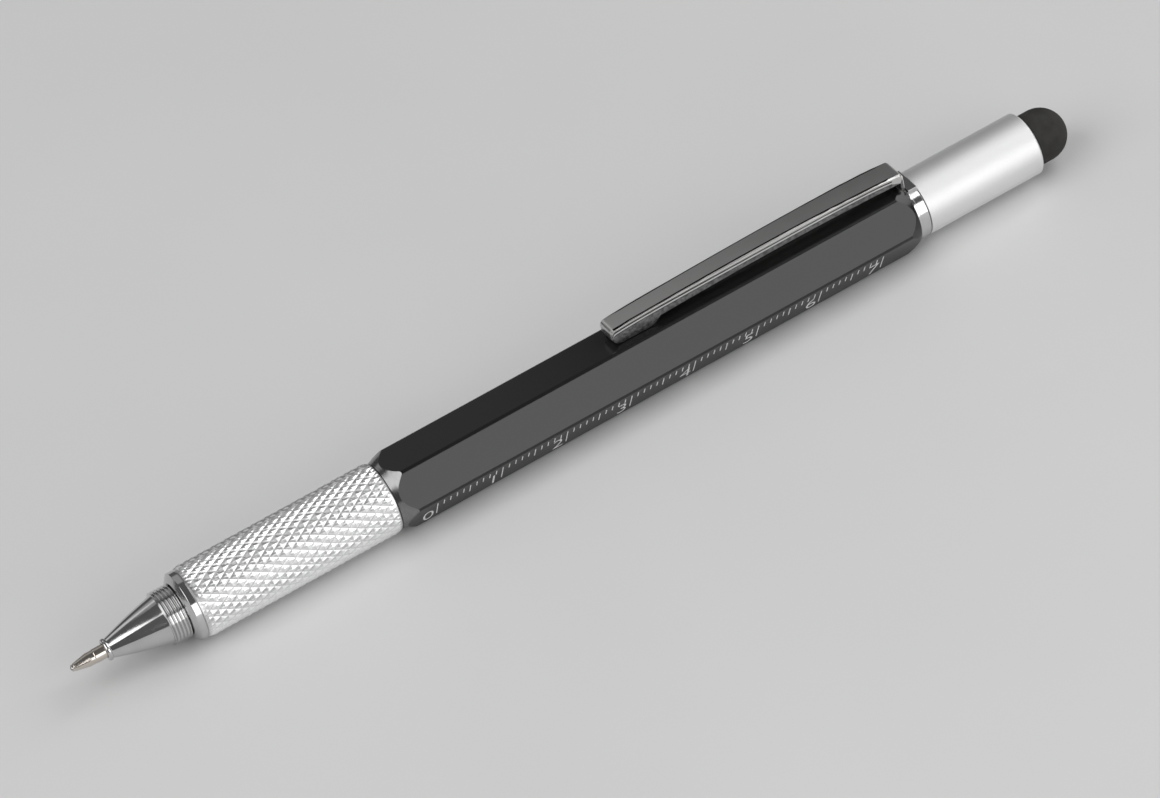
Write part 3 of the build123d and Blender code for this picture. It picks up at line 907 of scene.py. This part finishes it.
@dataclass
class Nose:
    """The chromed nose with its bead, grooved collar and threaded spigot."""

    front: float = start_of("nose_cone")
    end: float = end_of("nose_cone")
    bead_length: float = 0.6
    bead_radius: float = 1.56
    bead_steps: int = 8
    neck_radius: float = 1.38
    cone_length: float = 7.8
    cone_bulge: float = 0.10
    cone_end_radius: float = 3.45
    cone_steps: int = 12
    collar_length: float = 2.5
    collar_radius: float = 3.8
    groove_count: int = 5
    groove_width: float = 0.30
    groove_depth: float = 0.20
    thread_radius: float = 3.2
    thread_pitch: float = 0.5
    thread_depth: float = 0.26
    throat_length: float = 4.6
    throat_radius: float = 1.06
    bore_radius: float = 1.27
    edge: float = 0.035

    def build(self) -> None:
        """Turns the nose and puts it on its body."""
        cone_start = self.front + self.bead_length
        collar_start = cone_start + self.cone_length
        rings = self.bead() + self.cone(cone_start) + self.collar(collar_start)
        rings += self.spigot(collar_start + self.collar_length) + self.bore()
        piece = Turning("nose_shell", rings, hollow=True, segments=128, edge=self.edge).build()
        settle(piece, Body.NOSE, Slot.CHROME, "nose_cone")

    def bead(self) -> list[Ring]:
        """The rings of the rounded bead at the front.

        Returns:
            Half a circle of rings, pressed flat.
        """
        half, rise = self.bead_length / 2, self.bead_radius - self.neck_radius
        middle = self.front + half
        turns = [math.pi * share for share in shares(self.bead_steps)]
        return [
            (middle - math.cos(turn) * half, self.neck_radius + rise * math.sin(turn))
            for turn in turns
        ]

    def cone(self, start: float) -> list[Ring]:
        """The rings of the slightly full cone.

        Args:
            start: Where the bead ends.

        Returns:
            Its rings.
        """
        rise = self.cone_end_radius - self.neck_radius
        radii = [
            self.neck_radius + rise * share + self.cone_bulge * math.sin(math.pi * share)
            for share in shares(self.cone_steps)
        ]
        stations = [start + self.cone_length * share for share in shares(self.cone_steps)]
        return list(zip(stations, radii))[1:]

    def collar(self, start: float) -> list[Ring]:
        """The rings of the grooved collar.

        Args:
            start: Where the cone ends.

        Returns:
            Its rings.
        """
        pitch = self.collar_length / self.groove_count
        half, floor = self.groove_width / 2, self.collar_radius - self.groove_depth
        rings = [(start, self.collar_radius)]
        for groove in range(self.groove_count):
            middle = start + (groove + 0.5) * pitch
            rings += [
                (middle - half, self.collar_radius),
                (middle, floor),
                (middle + half, self.collar_radius),
            ]
        return rings + [(start + self.collar_length, self.collar_radius)]

    def spigot(self, start: float) -> list[Ring]:
        """The rings of the threaded spigot.

        Args:
            start: Where the collar ends.

        Returns:
            Its rings, with plain necks before and behind the thread.
        """
        relief = self.thread_radius - self.thread_depth
        rings = [(start, relief)]
        station = start + self.thread_pitch
        while station < self.end - self.thread_pitch:
            rings += [(station, relief), (station + self.thread_pitch / 2, self.thread_radius)]
            station += self.thread_pitch
        return rings + [(station, relief), (self.end, relief)]

    def bore(self) -> list[Ring]:
        """The rings of the stepped bore, from the rear to the front."""
        wide, narrow, step = self.bore_radius, self.throat_radius, self.front + self.throat_length
        return [(self.end, wide), (step, wide), (step, narrow), (self.front, narrow)]


@dataclass
class Refill:
    """The ball-pen refill: its tip, ball, tube and plug."""

    rim_radius: float = 0.45
    rim_length: float = 0.28
    rim_round: float = 0.03
    rim_step: float = 0.06
    cone_length: float = 2.3
    land_length: float = 0.9
    seat_radius: float = 0.365
    tip_radius: float = 0.98
    step_depth: float = 0.05
    step_length: float = 0.08
    spigot_radius: float = 0.90
    edge: float = 0.02

    def build(self) -> None:
        """Turns the tip, and refines the ball, the tube and the plug."""
        front, tube, end = start_of("refill_tip"), start_of("refill_tube"), end_of("refill_tip")
        shoulder = front + self.cone_length
        land = shoulder + self.land_length
        rim = front + self.rim_length
        land_radius = self.tip_radius - self.step_depth
        rings = [
            (front, self.rim_radius),
            (rim, self.rim_radius + self.rim_round),
            (rim + self.rim_step, self.rim_radius + self.rim_round + self.rim_step),
            (shoulder, land_radius),
            (land, land_radius),
            (land + self.step_length, self.tip_radius),
            (tube, self.tip_radius),
            (tube, self.spigot_radius),
            (end, self.spigot_radius),
            (end, self.seat_radius),
            (front, self.seat_radius),
        ]
        tip = Turning("refill_point", rings, hollow=True, segments=72, edge=self.edge).build()
        settle(tip, Body.REFILL, Slot.NICKEL, "refill_tip")
        dress_copy("refill_ball", "writing_ball", Body.REFILL, Slot.CARBIDE)
        dress_copy("refill_tube", "ink_tube", Body.REFILL, Slot.REFILL, edge=0.03)
        dress_copy("refill_plug", "ink_stopper", Body.REFILL, Slot.PLUG, edge=0.05)


@dataclass
class Grip:
    """The knurled grip and the chromed trim ring in front of it."""

    front: float = start_of("grip_sleeve")
    end: float = end_of("grip_sleeve")
    end_radius: float = 4.72
    end_chamfer: float = 0.14
    bore_radius: float = 4.02
    rows: int = 58
    columns: int = 108
    flank_share: float = 0.5
    tip_share: float = 0.92
    ring_lip: tuple[float, float] = (0.12, 0.22)
    ring_cone: float = 0.65
    ring_front_radius: float = 3.95
    ring_radius: float = 4.9
    ring_bore: float = 3.25

    def build(self) -> None:
        """Makes both pieces and puts them on their body."""
        self.sleeve()
        self.trim_ring()

    def sleeve(self) -> None:
        """Turns the sleeve, then lifts every other point of its grid into a diamond knurl."""
        first = self.front + self.end_chamfer
        pitch = (self.end - self.end_chamfer - first) / self.rows
        rings = [(self.front, self.end_radius)]
        rings += [(first + row * pitch, KNURL_VALLEY) for row in range(self.rows + 1)]
        rings += [(self.end, radius) for radius in (self.end_radius, self.bore_radius)]
        rings += [(self.front, self.bore_radius)]
        sleeve = Turning("knurled_sleeve", rings, hollow=True, segments=self.columns, edge=0)
        piece = sleeve.build()
        step = math.tau / self.columns
        zero = piece.data.vertices[0].co
        base = math.atan2(zero.y, zero.z - AXIS_HEIGHT)

        def rise(place: Vector) -> float:
            """How high a point of the grid stands.

            Args:
                place: The point's place.

            Returns:
                0 in a groove, and most on a diamond.
            """
            row = round((place.x - first) / pitch)
            column = round((math.atan2(place.y, place.z - AXIS_HEIGHT) - base) / step)
            if not 0 < row < self.rows:
                return 0.0
            groove = min(abs((row + column) % 4 - 2), abs((row - column) % 4 - 2))
            return (0.0, self.flank_share, self.tip_share)[groove]

        with editing(piece, action="DESELECT"):
            for share in (self.flank_share, self.tip_share):
                select_vertices(piece, lambda place, share=share: rise(place) == share)
                growth = 1 + (KNURL_CREST / KNURL_VALLEY - 1) * share / self.tip_share
                middle = (0, 0, AXIS_HEIGHT)
                bpy.ops.transform.resize(value=(1, growth, growth), center_override=middle)
            outside = self.bore_radius + NEAR
            select_vertices(piece, lambda place: radius_at(place) > outside, mode="FACE")
            bpy.ops.mesh.quads_convert_to_tris(quad_method="SHORTEST_DIAGONAL")
        bpy.ops.object.shade_flat()
        settle(piece, Body.GRIP, Slot.KNURL, "grip_sleeve")

    def trim_ring(self) -> None:
        """Turns the ring: a short cone that rises to a band with two fine edges."""
        start, end = start_of("nose_ring"), end_of("nose_ring")
        lip_length, lip_rise = self.ring_lip
        rings = [
            (start, self.ring_front_radius),
            (start + lip_length, self.ring_front_radius + lip_rise),
            (start + self.ring_cone, self.ring_radius),
            (end, self.ring_radius),
            (end, self.ring_bore),
            (start, self.ring_bore),
        ]
        piece = Turning("trim_ring", rings, hollow=True, segments=128, edge=0.06).build()
        settle(piece, Body.GRIP, Slot.CHROME, "nose_ring")


@dataclass
class Ruler:
    """The centimetre scale printed on the barrel's lower front face."""

    flat_offset: float
    zero: float
    face_tilt: float = 30.0
    centimetres: int = 7
    height: float = 0.012
    line_width: float = 0.15
    line_top: float = 0.87
    long_end: float = 4.40
    middle_end: float = 3.05
    short_end: float = 2.20
    digit_height: float = 2.6
    digit_middle: float = 3.55
    digit_gap: float = 1.30
    digit_steps: int = 4
    thinning: float = -0.012

    def build(self) -> None:
        """Prints the lines and the numbers, and joins each kind into one piece."""
        numbers = [self.digit(number) for number in range(self.centimetres + 1)]
        for name, marks in (("ruler_lines", self.lines()), ("ruler_numbers", numbers)):
            pick(None)
            for mark in marks:
                mark.select_set(True)
            bpy.context.view_layer.objects.active = marks[0]
            bpy.ops.object.join()
            piece = bpy.context.object
            piece.name = name
            piece.data.transform(self.face())
            with editing(piece):
                bpy.ops.mesh.remove_doubles(threshold=NEAR)
                bpy.ops.mesh.normals_make_consistent(inside=False)
            settle(piece, Body.BARREL, Slot.LACQUER, finish=INK)

    def face(self) -> Matrix:
        """The face that is printed on.

        Returns:
            Its place: x along the pen, y up the face and z out of it.
        """
        tilt = math.radians(self.face_tilt)
        along = Vector((1, 0, 0))
        out = Vector((0, -math.cos(tilt), -math.sin(tilt)))
        up = out.cross(along)
        edge = out * self.flat_offset + up * self.flat_offset * math.tan(tilt)
        origin = Vector((self.zero, 0, AXIS_HEIGHT)) + edge
        return Matrix.Translation(origin) @ Matrix((along, up, out)).transposed().to_4x4()

    def line(self, name: str, end: float) -> Piece:
        """A printed line from the scale's top to a depth below the face's upper edge.

        Args:
            name: The piece's name.
            end: The depth of its lower end.

        Returns:
            The line, on the face at zero.
        """
        middle = (0, -(self.line_top + end) / 2, 0)
        size = (self.line_width, end - self.line_top, 1)
        piece = primitive(name, bpy.ops.mesh.primitive_plane_add, size=1, location=middle)
        with editing(piece):
            bpy.ops.transform.resize(value=size, center_override=middle)
            extrude((0, 0, self.height))
        turn_out(piece)
        return piece

    def lines(self) -> list[Piece]:
        """Copies the three lengths of line, one copy for each millimetre.

        Returns:
            The lines, on the face.
        """
        long = self.line("long_line", self.long_end)
        middle = self.line("middle_line", self.middle_end)
        short = self.line("short_line", self.short_end)
        kinds = [long, *[short] * 4, middle, *[short] * 4]
        made = []
        for step in range(self.centimetres * len(kinds) + 1):
            made.append(copy_of(kinds[step % len(kinds)], f"line_{step}"))
            made[-1].data.transform(Matrix.Translation((step, 0, 0)))
        for kind in (long, middle, short):
            bpy.data.objects.remove(kind)
        return made

    def digit(self, number: int) -> Piece:
        """A printed number to the left of its line.

        Args:
            number: The number, in centimetres.

        Returns:
            The number as a mesh, on the face.
        """
        pick(None)
        bpy.ops.object.text_add()
        text = bpy.context.object
        text.data.body = str(number)
        text.data.align_x = "CENTER"
        text.data.extrude = self.height / 2
        text.data.offset = self.thinning
        text.data.resolution_u = self.digit_steps
        bpy.context.view_layer.update()
        share = self.digit_height / text.dimensions.y
        bpy.ops.object.convert(target="MESH")
        piece = bpy.context.object
        heights = [vertex.co.y for vertex in piece.data.vertices]
        middle = (min(heights) + max(heights)) / 2
        sizing = Matrix.Diagonal((share, share, 1, 1)) @ Matrix.Translation((0, -middle, 0))
        move = (number * 10 - self.digit_gap, -self.digit_middle, self.height / 2)
        piece.data.transform(Matrix.Translation(move) @ sizing)
        return piece


@dataclass
class Barrel:
    """The hexagonal barrel with its window, its printed scale and the spirit level inside."""

    across_flats: float = 9.9
    sharp: float = 18.5
    chamfer_reach: float = 4.0
    chamfer_lean: tuple[float, float] = (-0.97, -0.2)
    zero_setback: float = 5.0
    bubble_radius: float = 1.0
    bubble_gap: float = 0.05
    line_gap: float = 4.4
    line_width: float = 0.25
    line_height: float = 0.03

    def build(self) -> None:
        """Makes the barrel, its scale and its level."""
        shell = refined("hex_barrel", "lacquered_barrel", edge=0.05, sharp=self.sharp)
        steep, slight = self.chamfer_lean
        limit = start_of("hex_barrel") + self.chamfer_reach
        mark_faces(
            shell,
            BARE_METAL,
            lambda face: steep < face.normal.x < slight and face.center.x < limit,
        )
        settle(shell, Body.BARREL, Slot.LACQUER, "hex_barrel")
        Ruler(self.across_flats / 2, start_of("hex_barrel") + self.zero_setback).build()
        dress_copy("vial_window", "level_window", Body.BARREL, Slot.ACRYLIC, edge=0.06)
        dress_copy("level_vial", "level_tube", Body.BARREL, Slot.ACRYLIC, edge=0.05)
        dress_copy("level_liquid", "level_fluid", Body.BARREL, Slot.LIQUID)
        middle = (start_of("level_liquid") + end_of("level_liquid")) / 2
        self.level_lines(middle)
        self.bubble(middle)

    def level_lines(self, middle: float) -> None:
        """Turns the two black lines round the liquid.

        Args:
            middle: The level's middle station.
        """
        inside = top_of("level_liquid") - AXIS_HEIGHT
        outside = inside + self.line_height
        for side, name in ((-1, "front_level_line"), (1, "rear_level_line")):
            front = middle + (side * self.line_gap - self.line_width) / 2
            end = front + self.line_width
            rings = [(front, inside), (end, inside), (end, outside), (front, outside)]
            line = Turning(name, rings, hollow=True, segments=64, edge=0).build()
            settle(line, Body.BARREL, Slot.PLASTIC)

    def bubble(self, middle: float) -> None:
        """Makes the round bubble under the top of the liquid.

        Args:
            middle: The level's middle station.
        """
        height = top_of("level_liquid") - self.bubble_radius - self.bubble_gap
        bubble = primitive(
            "level_bubble",
            bpy.ops.mesh.primitive_uv_sphere_add,
            segments=32,
            ring_count=16,
            radius=self.bubble_radius,
            location=(middle, 0, height),
            rotation=(0, math.pi / 2, 0),
        )
        bpy.ops.object.shade_smooth()
        settle(bubble, Body.BARREL, Slot.LIQUID, finish=AIR)


@dataclass(frozen=True)
class Groove:
    """A line that is cut along both sides of the clip, beside one of its edges."""

    edge: Sequence[Vector]
    depth: float
    inset: float
    width: float

    def offset(self, place: Vector) -> float:
        """How far a place is from the line, down or across, whichever is more.

        Args:
            place: The place, in millimetres, on either side.

        Returns:
            The distance as a share of the line's width.
        """
        pairs = zip(self.edge, self.edge[1:])
        before, after = next((pair for pair in pairs if place.x <= pair[1].x), self.edge[-2:])
        line = before.lerp(after, (place.x - before.x) / (after.x - before.x))
        down = line.z - self.depth - place.z
        across = line.y - self.inset - abs(place.y)
        return max(abs(down), abs(across)) / self.width

    def bar(self, side: int) -> Piece:
        """A thin closed bar that cuts the line.

        Args:
            side: 1 for the side on +Y and -1 for the one on -Y.

        Returns:
            The bar.
        """
        front = self.edge[0]
        bar = primitive(
            "groove_bar",
            bpy.ops.mesh.primitive_plane_add,
            size=self.width,
            location=(front.x, side * (front.y - self.inset), front.z - self.depth),
            rotation=(0, math.pi / 2, 0),
        )
        with editing(bar):
            for before, after in zip(self.edge, self.edge[1:]):
                step = after - before
                extrude((step.x, side * step.y, step.z))
        turn_out(bar)
        return bar


@dataclass
class Clip:
    """The sprung clip, and the ring with the lug that carries it."""

    start: float = start_of("clip_arm")
    end: float = end_of("clip_arm")
    tip_width: float = 3.1
    head_width: float = 3.8
    skirt_height: float = 1.9
    edge_reach: float = 0.01
    fold: tuple[float, float] = (0.12, 0.32)
    fold_rise: float = 0.05
    fold_start: float = 1.0
    fold_inset: float = 0.05
    fold_width: float = 0.22
    fold_round: float = 0.09
    seam_depth: float = 0.38
    seam_width: float = 0.15
    lip_depth: float = 0.78
    lip_width: float = 0.08
    groove_reach: float = 0.6
    lead: float = 0.6
    setback: float = 1.2

    def build(self) -> None:
        """Makes both pieces and puts them on their bodies."""
        self.arm()
        dress_copy("clip_ring", "clip_band", Body.BARREL, Slot.CHROME, edge=0.05)

    def arm(self) -> None:
        """Rounds the clip, cuts the lines along both sides and marks its faces.

        The flat sides are cut into triangles first, so that each of them is on one side of a line.
        """
        arm = refined("clip_arm", "pocket_clip")
        grooves = self.grooves(arm)
        break_edges(arm, self.fold_round)
        for groove in grooves:
            for side in (-1, 1):
                cut(arm, groove.bar(side))
        with editing(arm):
            bpy.ops.mesh.quads_convert_to_tris(quad_method="BEAUTY", ngon_method="BEAUTY")
        smooth(arm, angle=50)
        lip = grooves[-1]
        places = [vertex.co for vertex in arm.data.vertices]

        def on_skirt(face: Face) -> bool:
            """Whether a face is on the outside of the skirt, under the polished lip.

            Args:
                face: The face.

            Returns:
                True on the skirt.
            """
            middle = face.center
            edge = min(lip.edge, key=lambda place: abs(place.x - middle.x))
            outside = self.half_width(middle.x) - abs(middle.y) < self.seam_width
            return outside and middle.z < edge.z - lip.depth - lip.width / 2

        def in_groove(face: Face) -> bool:
            """Whether a face is in one of the lines, with its centre and all its corners.

            Args:
                face: The face.

            Returns:
                True in a line.
            """
            points = [face.center, *(places[index] for index in face.vertices)]
            depths = (max(groove.offset(point) for point in points) for groove in grooves)
            return min(depths) < self.groove_reach

        # the skirt's faces get hammer dents and painted shade
        mark_faces(arm, HAMMERED_AND_SHADED, on_skirt)
        # the grooves' faces get painted shade
        mark_faces(arm, GROOVE_SHADE, in_groove)
        settle(arm, Body.CLIP, Slot.CLIP, "clip_arm")

    def half_width(self, station: float) -> float:
        """Half the clip's width at a station, in millimetres."""
        share = (station - self.start) / (self.end - self.start)
        return (self.tip_width + (self.head_width - self.tip_width) * share) / 2

    def edge(self, arm: Piece, start: float, chosen: Callable[[Vector], bool]) -> list[Vector]:
        """One of the long edges of the clip's half on +Y.

        Args:
            arm: The clip with its doubles merged.
            start: The station that it starts behind.
            chosen: Whether a place is on the edge.

        Returns:
            The edge's points in order, led a little further at both ends.
        """
        end = self.end - self.setback
        places = [vertex.co.copy() for vertex in arm.data.vertices]
        points = [place for place in places if start < place.x < end and chosen(place)]
        points.sort(key=lambda place: place.x)
        last = points[-1] + (points[-1] - points[-2]).normalized() * NEAR
        return [points[0] - Vector((self.lead, 0, 0)), *points, last]

    def grooves(self, arm: Piece) -> list[Groove]:
        """Finds the lines: at the fold, the seam under it and under the polished lip.

        Args:
            arm: The clip with its doubles merged.

        Returns:
            The lines, with the lip's one last.
        """
        low = top_of("hex_barrel") + self.skirt_height

        def on_side(place: Vector) -> bool:
            """Whether a place is on the side's upper edge."""
            return abs(place.y - self.half_width(place.x)) < self.edge_reach and place.z > low

        side = self.edge(arm, self.start + NEAR, on_side)

        def on_fold(place: Vector) -> bool:
            """Whether a place is on the plate's edge.

            Args:
                place: The place.

            Returns:
                True on that edge.
            """
            inset = self.half_width(place.x) - place.y
            before = max((point for point in side if point.x <= place.x), key=lambda point: point.x)
            return self.fold[0] < inset < self.fold[1] and place.z > before.z + self.fold_rise

        fold = self.edge(arm, self.start + self.fold_start, on_fold)
        return [
            Groove(fold, 0.0, self.fold_inset, self.fold_width),
            Groove(side, self.seam_depth, 0.0, self.seam_width),
            Groove(side, self.lip_depth, 0.0, self.lip_width),
        ]


@dataclass
class Cap:
    """The screw-off cap with the touch stylus at its end."""

    start: float = start_of("cap_shell")
    end: float = end_of("cap_shell")
    radius: float = 4.59
    edge: float = 0.2
    bore_radius: float = 3.92
    recess_radius: float = 3.32
    recess_depth: float = 1.8
    end_wall: float = 1.6
    stem_hole: float = 1.47
    dome_radius: float = 3.75
    dome_wall: float = 1.1
    dome_round: float = 0.08
    dome_steps: int = 20
    skirt_radius: float = 3.3

    def build(self) -> None:
        """Turns the cap and the dome."""
        recess = self.end - self.recess_depth
        wall = recess - self.end_wall
        rings = [
            (self.start, self.radius),
            (self.end - self.edge, self.radius),
            (self.end, self.radius - self.edge),
            (self.end, self.recess_radius),
            (recess, self.recess_radius),
            (recess, self.stem_hole),
            (wall, self.stem_hole),
            (wall, self.bore_radius),
            (self.start, self.bore_radius),
        ]
        shell = Turning("satin_cap", rings, hollow=True, segments=128, edge=0.06).build()
        settle(shell, Body.CAP, Slot.CAP, "cap_shell")
        self.dome()

    def dome(self) -> None:
        """Turns the soft dome of the stylus, hollow in its skirt and closed at its tip."""
        start = start_of("stylus_dome")
        middle = end_of("stylus_dome") - self.dome_radius
        cavity = self.dome_radius - self.dome_wall
        turns = [math.pi / 2 * share for share in shares(self.dome_steps)[:-1]]
        rings = [
            (middle, cavity),
            (start, cavity),
            (start, self.skirt_radius),
            (self.end, self.skirt_radius),
            (self.end, self.dome_radius - self.dome_round),
            (self.end + self.dome_round, self.dome_radius),
        ]
        rings += [
            (middle + math.sin(turn) * self.dome_radius, math.cos(turn) * self.dome_radius)
            for turn in turns
        ]
        piece = Turning("soft_dome", rings, edge=0).build()
        settle(piece, Body.CAP, Slot.STYLUS, "stylus_dome")


@dataclass
class BitStore:
    """The bit socket with the cap's thread on its neck, its magnet and the double-ended bit."""

    start: float = start_of("cap_bush")
    neck_radius: float = 3.25
    thread_pitch: float = 0.6
    thread_count: int = 7
    thread_depth: float = 0.22
    thread_clearance: float = 0.05
    cutter_radius: float = 3.6

    def build(self) -> None:
        """Makes the three pieces and puts them on their bodies."""
        socket = refined("bit_socket", "threaded_socket", edge=0.05)
        cut(socket, self.thread_cutter())
        smooth(socket, angle=30)
        settle(socket, Body.BARREL, Slot.SOCKET, "bit_socket")
        dress_copy("socket_magnet", "holding_magnet", Body.BARREL, Slot.MAGNET, edge=0.05)
        dress_copy("double_ended_bit", "driver_bit", Body.BIT, Slot.BIT, edge=0.04)

    def thread_cutter(self) -> Piece:
        """Turns a ring with inner teeth, which cuts the grooves of the thread.

        Returns:
            The ring.
        """
        crest, root = self.neck_radius + self.thread_clearance, self.neck_radius - self.thread_depth
        rings = [(self.start, self.cutter_radius)]
        for turn in range(self.thread_count):
            left = self.start + turn * self.thread_pitch
            rings += [(left, crest), (left + self.thread_pitch / 2, root)]
        end = self.start + self.thread_count * self.thread_pitch
        rings += [(end, crest), (end, self.cutter_radius)]
        return Turning("thread_cutter", rings, hollow=True, segments=72, edge=0).build()


@dataclass
class Works:
    """The inner pieces of the twist mechanism, the level and the cap."""

    edge: float = 0.04

    def build(self) -> None:
        """Refines each piece, the slotted ones with their edges as they are."""
        for node, name, body, slot, edge in (
            ("cam_sleeve", "slotted_cam", Body.BARREL, Slot.BRASS, 0.0),
            ("vial_plug", "level_stopper", Body.BARREL, Slot.PLASTIC, self.edge),
            ("grip_coupler", "brass_coupler", Body.GRIP, Slot.BRASS, self.edge),
            ("friction_ring", "drag_ring", Body.GRIP, Slot.SEAL, self.edge),
            ("guide_tube", "slotted_guide", Body.GRIP, Slot.MECHANISM, 0.0),
            ("retaining_ring", "push_on_ring", Body.GRIP, Slot.MECHANISM, self.edge),
            ("refill_carrier", "refill_holder", Body.CARRIER, Slot.ACETAL, 0.0),
            ("follower_pin", "cam_pin", Body.CARRIER, Slot.MECHANISM, self.edge),
            ("cap_bush", "threaded_bush", Body.CAP, Slot.BRASS, self.edge),
            ("stylus_stem", "dome_stem", Body.CAP, Slot.PLASTIC, self.edge),
        ):
            dress_copy(node, name, body, slot, edge)


# The studio


def direction(azimuth: float, elevation: float) -> Vector:
    """The direction from the pen to a place round it.

    Args:
        azimuth: The place's angle round the pen from the front, in degrees.
        elevation: Its angle over the floor, in degrees.

    Returns:
        A vector of length 1.
    """
    turn, rise = math.radians(azimuth), math.radians(elevation)
    flat = math.cos(rise)
    return Vector((math.sin(turn) * flat, -math.cos(turn) * flat, math.sin(rise)))


@dataclass
class SoftBox:
    """A soft area light that faces the pen, with its place in degrees and metres."""

    name: str
    azimuth: float
    elevation: float
    distance: float
    size: tuple[float, float]
    radiance: float

    def build(self, target: Vector) -> None:
        """Makes the light.

        Args:
            target: The point that it faces.
        """
        back = direction(self.azimuth, self.elevation)
        data = bpy.data.lights.new(self.name, "AREA")
        data.shape = "RECTANGLE"
        data.size, data.size_y = self.size
        data.energy = self.radiance * math.pi * self.size[0] * self.size[1]
        lamp = bpy.data.objects.new(self.name, data)
        lamp.location = target + back * self.distance
        lamp.rotation_mode = "QUATERNION"
        lamp.rotation_quaternion = back.to_track_quat("Z", "Y")
        bpy.context.scene.collection.objects.link(lamp)


@dataclass
class Studio:
    """The pale floor, the soft lights and the camera."""

    floor_size: float = 3.0
    floor_level: float = 0.70
    floor_shade: float = 0.97
    floor_cloud: float = 60.0
    sky_level: float = 0.12
    camera_place: tuple[float, float, float] = (-0.173804, -0.454831, 0.431706)
    azimuth: float = -20.8348
    elevation: float = 41.3482
    roll: float = -14.7836
    lens: float = 152.231
    sensor: float = 36.0
    clip_range: tuple[float, float] = (0.01, 20.0)

    def build(self) -> None:
        """Sets the stage."""
        self.floor()
        world = bpy.data.worlds.new("studio")
        bpy.context.scene.world = world
        world.use_nodes = True
        world.node_tree.nodes["Background"].inputs[0].default_value = grey(self.sky_level)
        target = (CAD_LOW + CAD_HIGH) / 2
        for box in (
            SoftBox("front_box", 19, 18, 0.90, size=(0.76, 0.60), radiance=2.2),
            SoftBox("left_box", -78, 42, 1.10, size=(1.0, 0.9), radiance=2.3),
            SoftBox("right_box", 84, 42, 1.10, size=(1.0, 0.9), radiance=2.3),
            SoftBox("thin_strip", -17, 34, 0.60, size=(0.035, 0.42), radiance=3.0),
            SoftBox("back_box", 182, 44, 0.60, size=(0.37, 0.45), radiance=0.27),
            SoftBox("rear_left_box", 207, 36, 0.70, size=(0.22, 0.25), radiance=0.5),
        ):
            box.build(target)
        self.camera()
        bpy.context.scene.view_settings.view_transform = "Standard"

    def floor(self) -> None:
        """Lays the floor under the pen."""
        spot = (0, 0, CAD_LOW.z)
        plane = bpy.ops.mesh.primitive_plane_add
        floor = primitive("floor", plane, size=self.floor_size, location=spot)
        kit = NodeKit("floor_paper")
        cloud = kit.noise(self.floor_cloud).ramp(0.3, 0.7)
        paper = kit.blend(cloud, grey(self.floor_level), grey(self.floor_level * self.floor_shade))
        floor.data.materials.append(kit.surface(Base_Color=paper, Roughness=0.55))

    def camera(self) -> None:
        """Puts the camera at the photograph's viewing angle."""
        back = direction(self.azimuth, self.elevation)
        right = direction(self.azimuth + 90, 0)
        up = back.cross(right)
        cosine, sine = math.cos(math.radians(self.roll)), math.sin(math.radians(self.roll))
        columns = (cosine * right + sine * up, cosine * up - sine * right, back)
        data = bpy.data.cameras.new("camera")
        data.lens, data.sensor_width = self.lens, self.sensor
        data.clip_start, data.clip_end = self.clip_range
        made = bpy.data.objects.new("camera", data)
        turned = Matrix(columns).transposed().to_4x4()
        made.matrix_world = Matrix.Translation(self.camera_place) @ turned
        bpy.context.scene.collection.objects.link(made)
        bpy.context.scene.camera = made


def main() -> None:
    """Builds the pen from its nose to its stylus, and the studio round it."""
    logging.basicConfig(level=logging.INFO, format="%(name)s: %(message)s")
    for assembly in (Nose, Refill, Grip, Barrel, Clip, Cap, BitStore, Works, Studio):
        assembly().build()


if __name__ == "__main__":
    main()
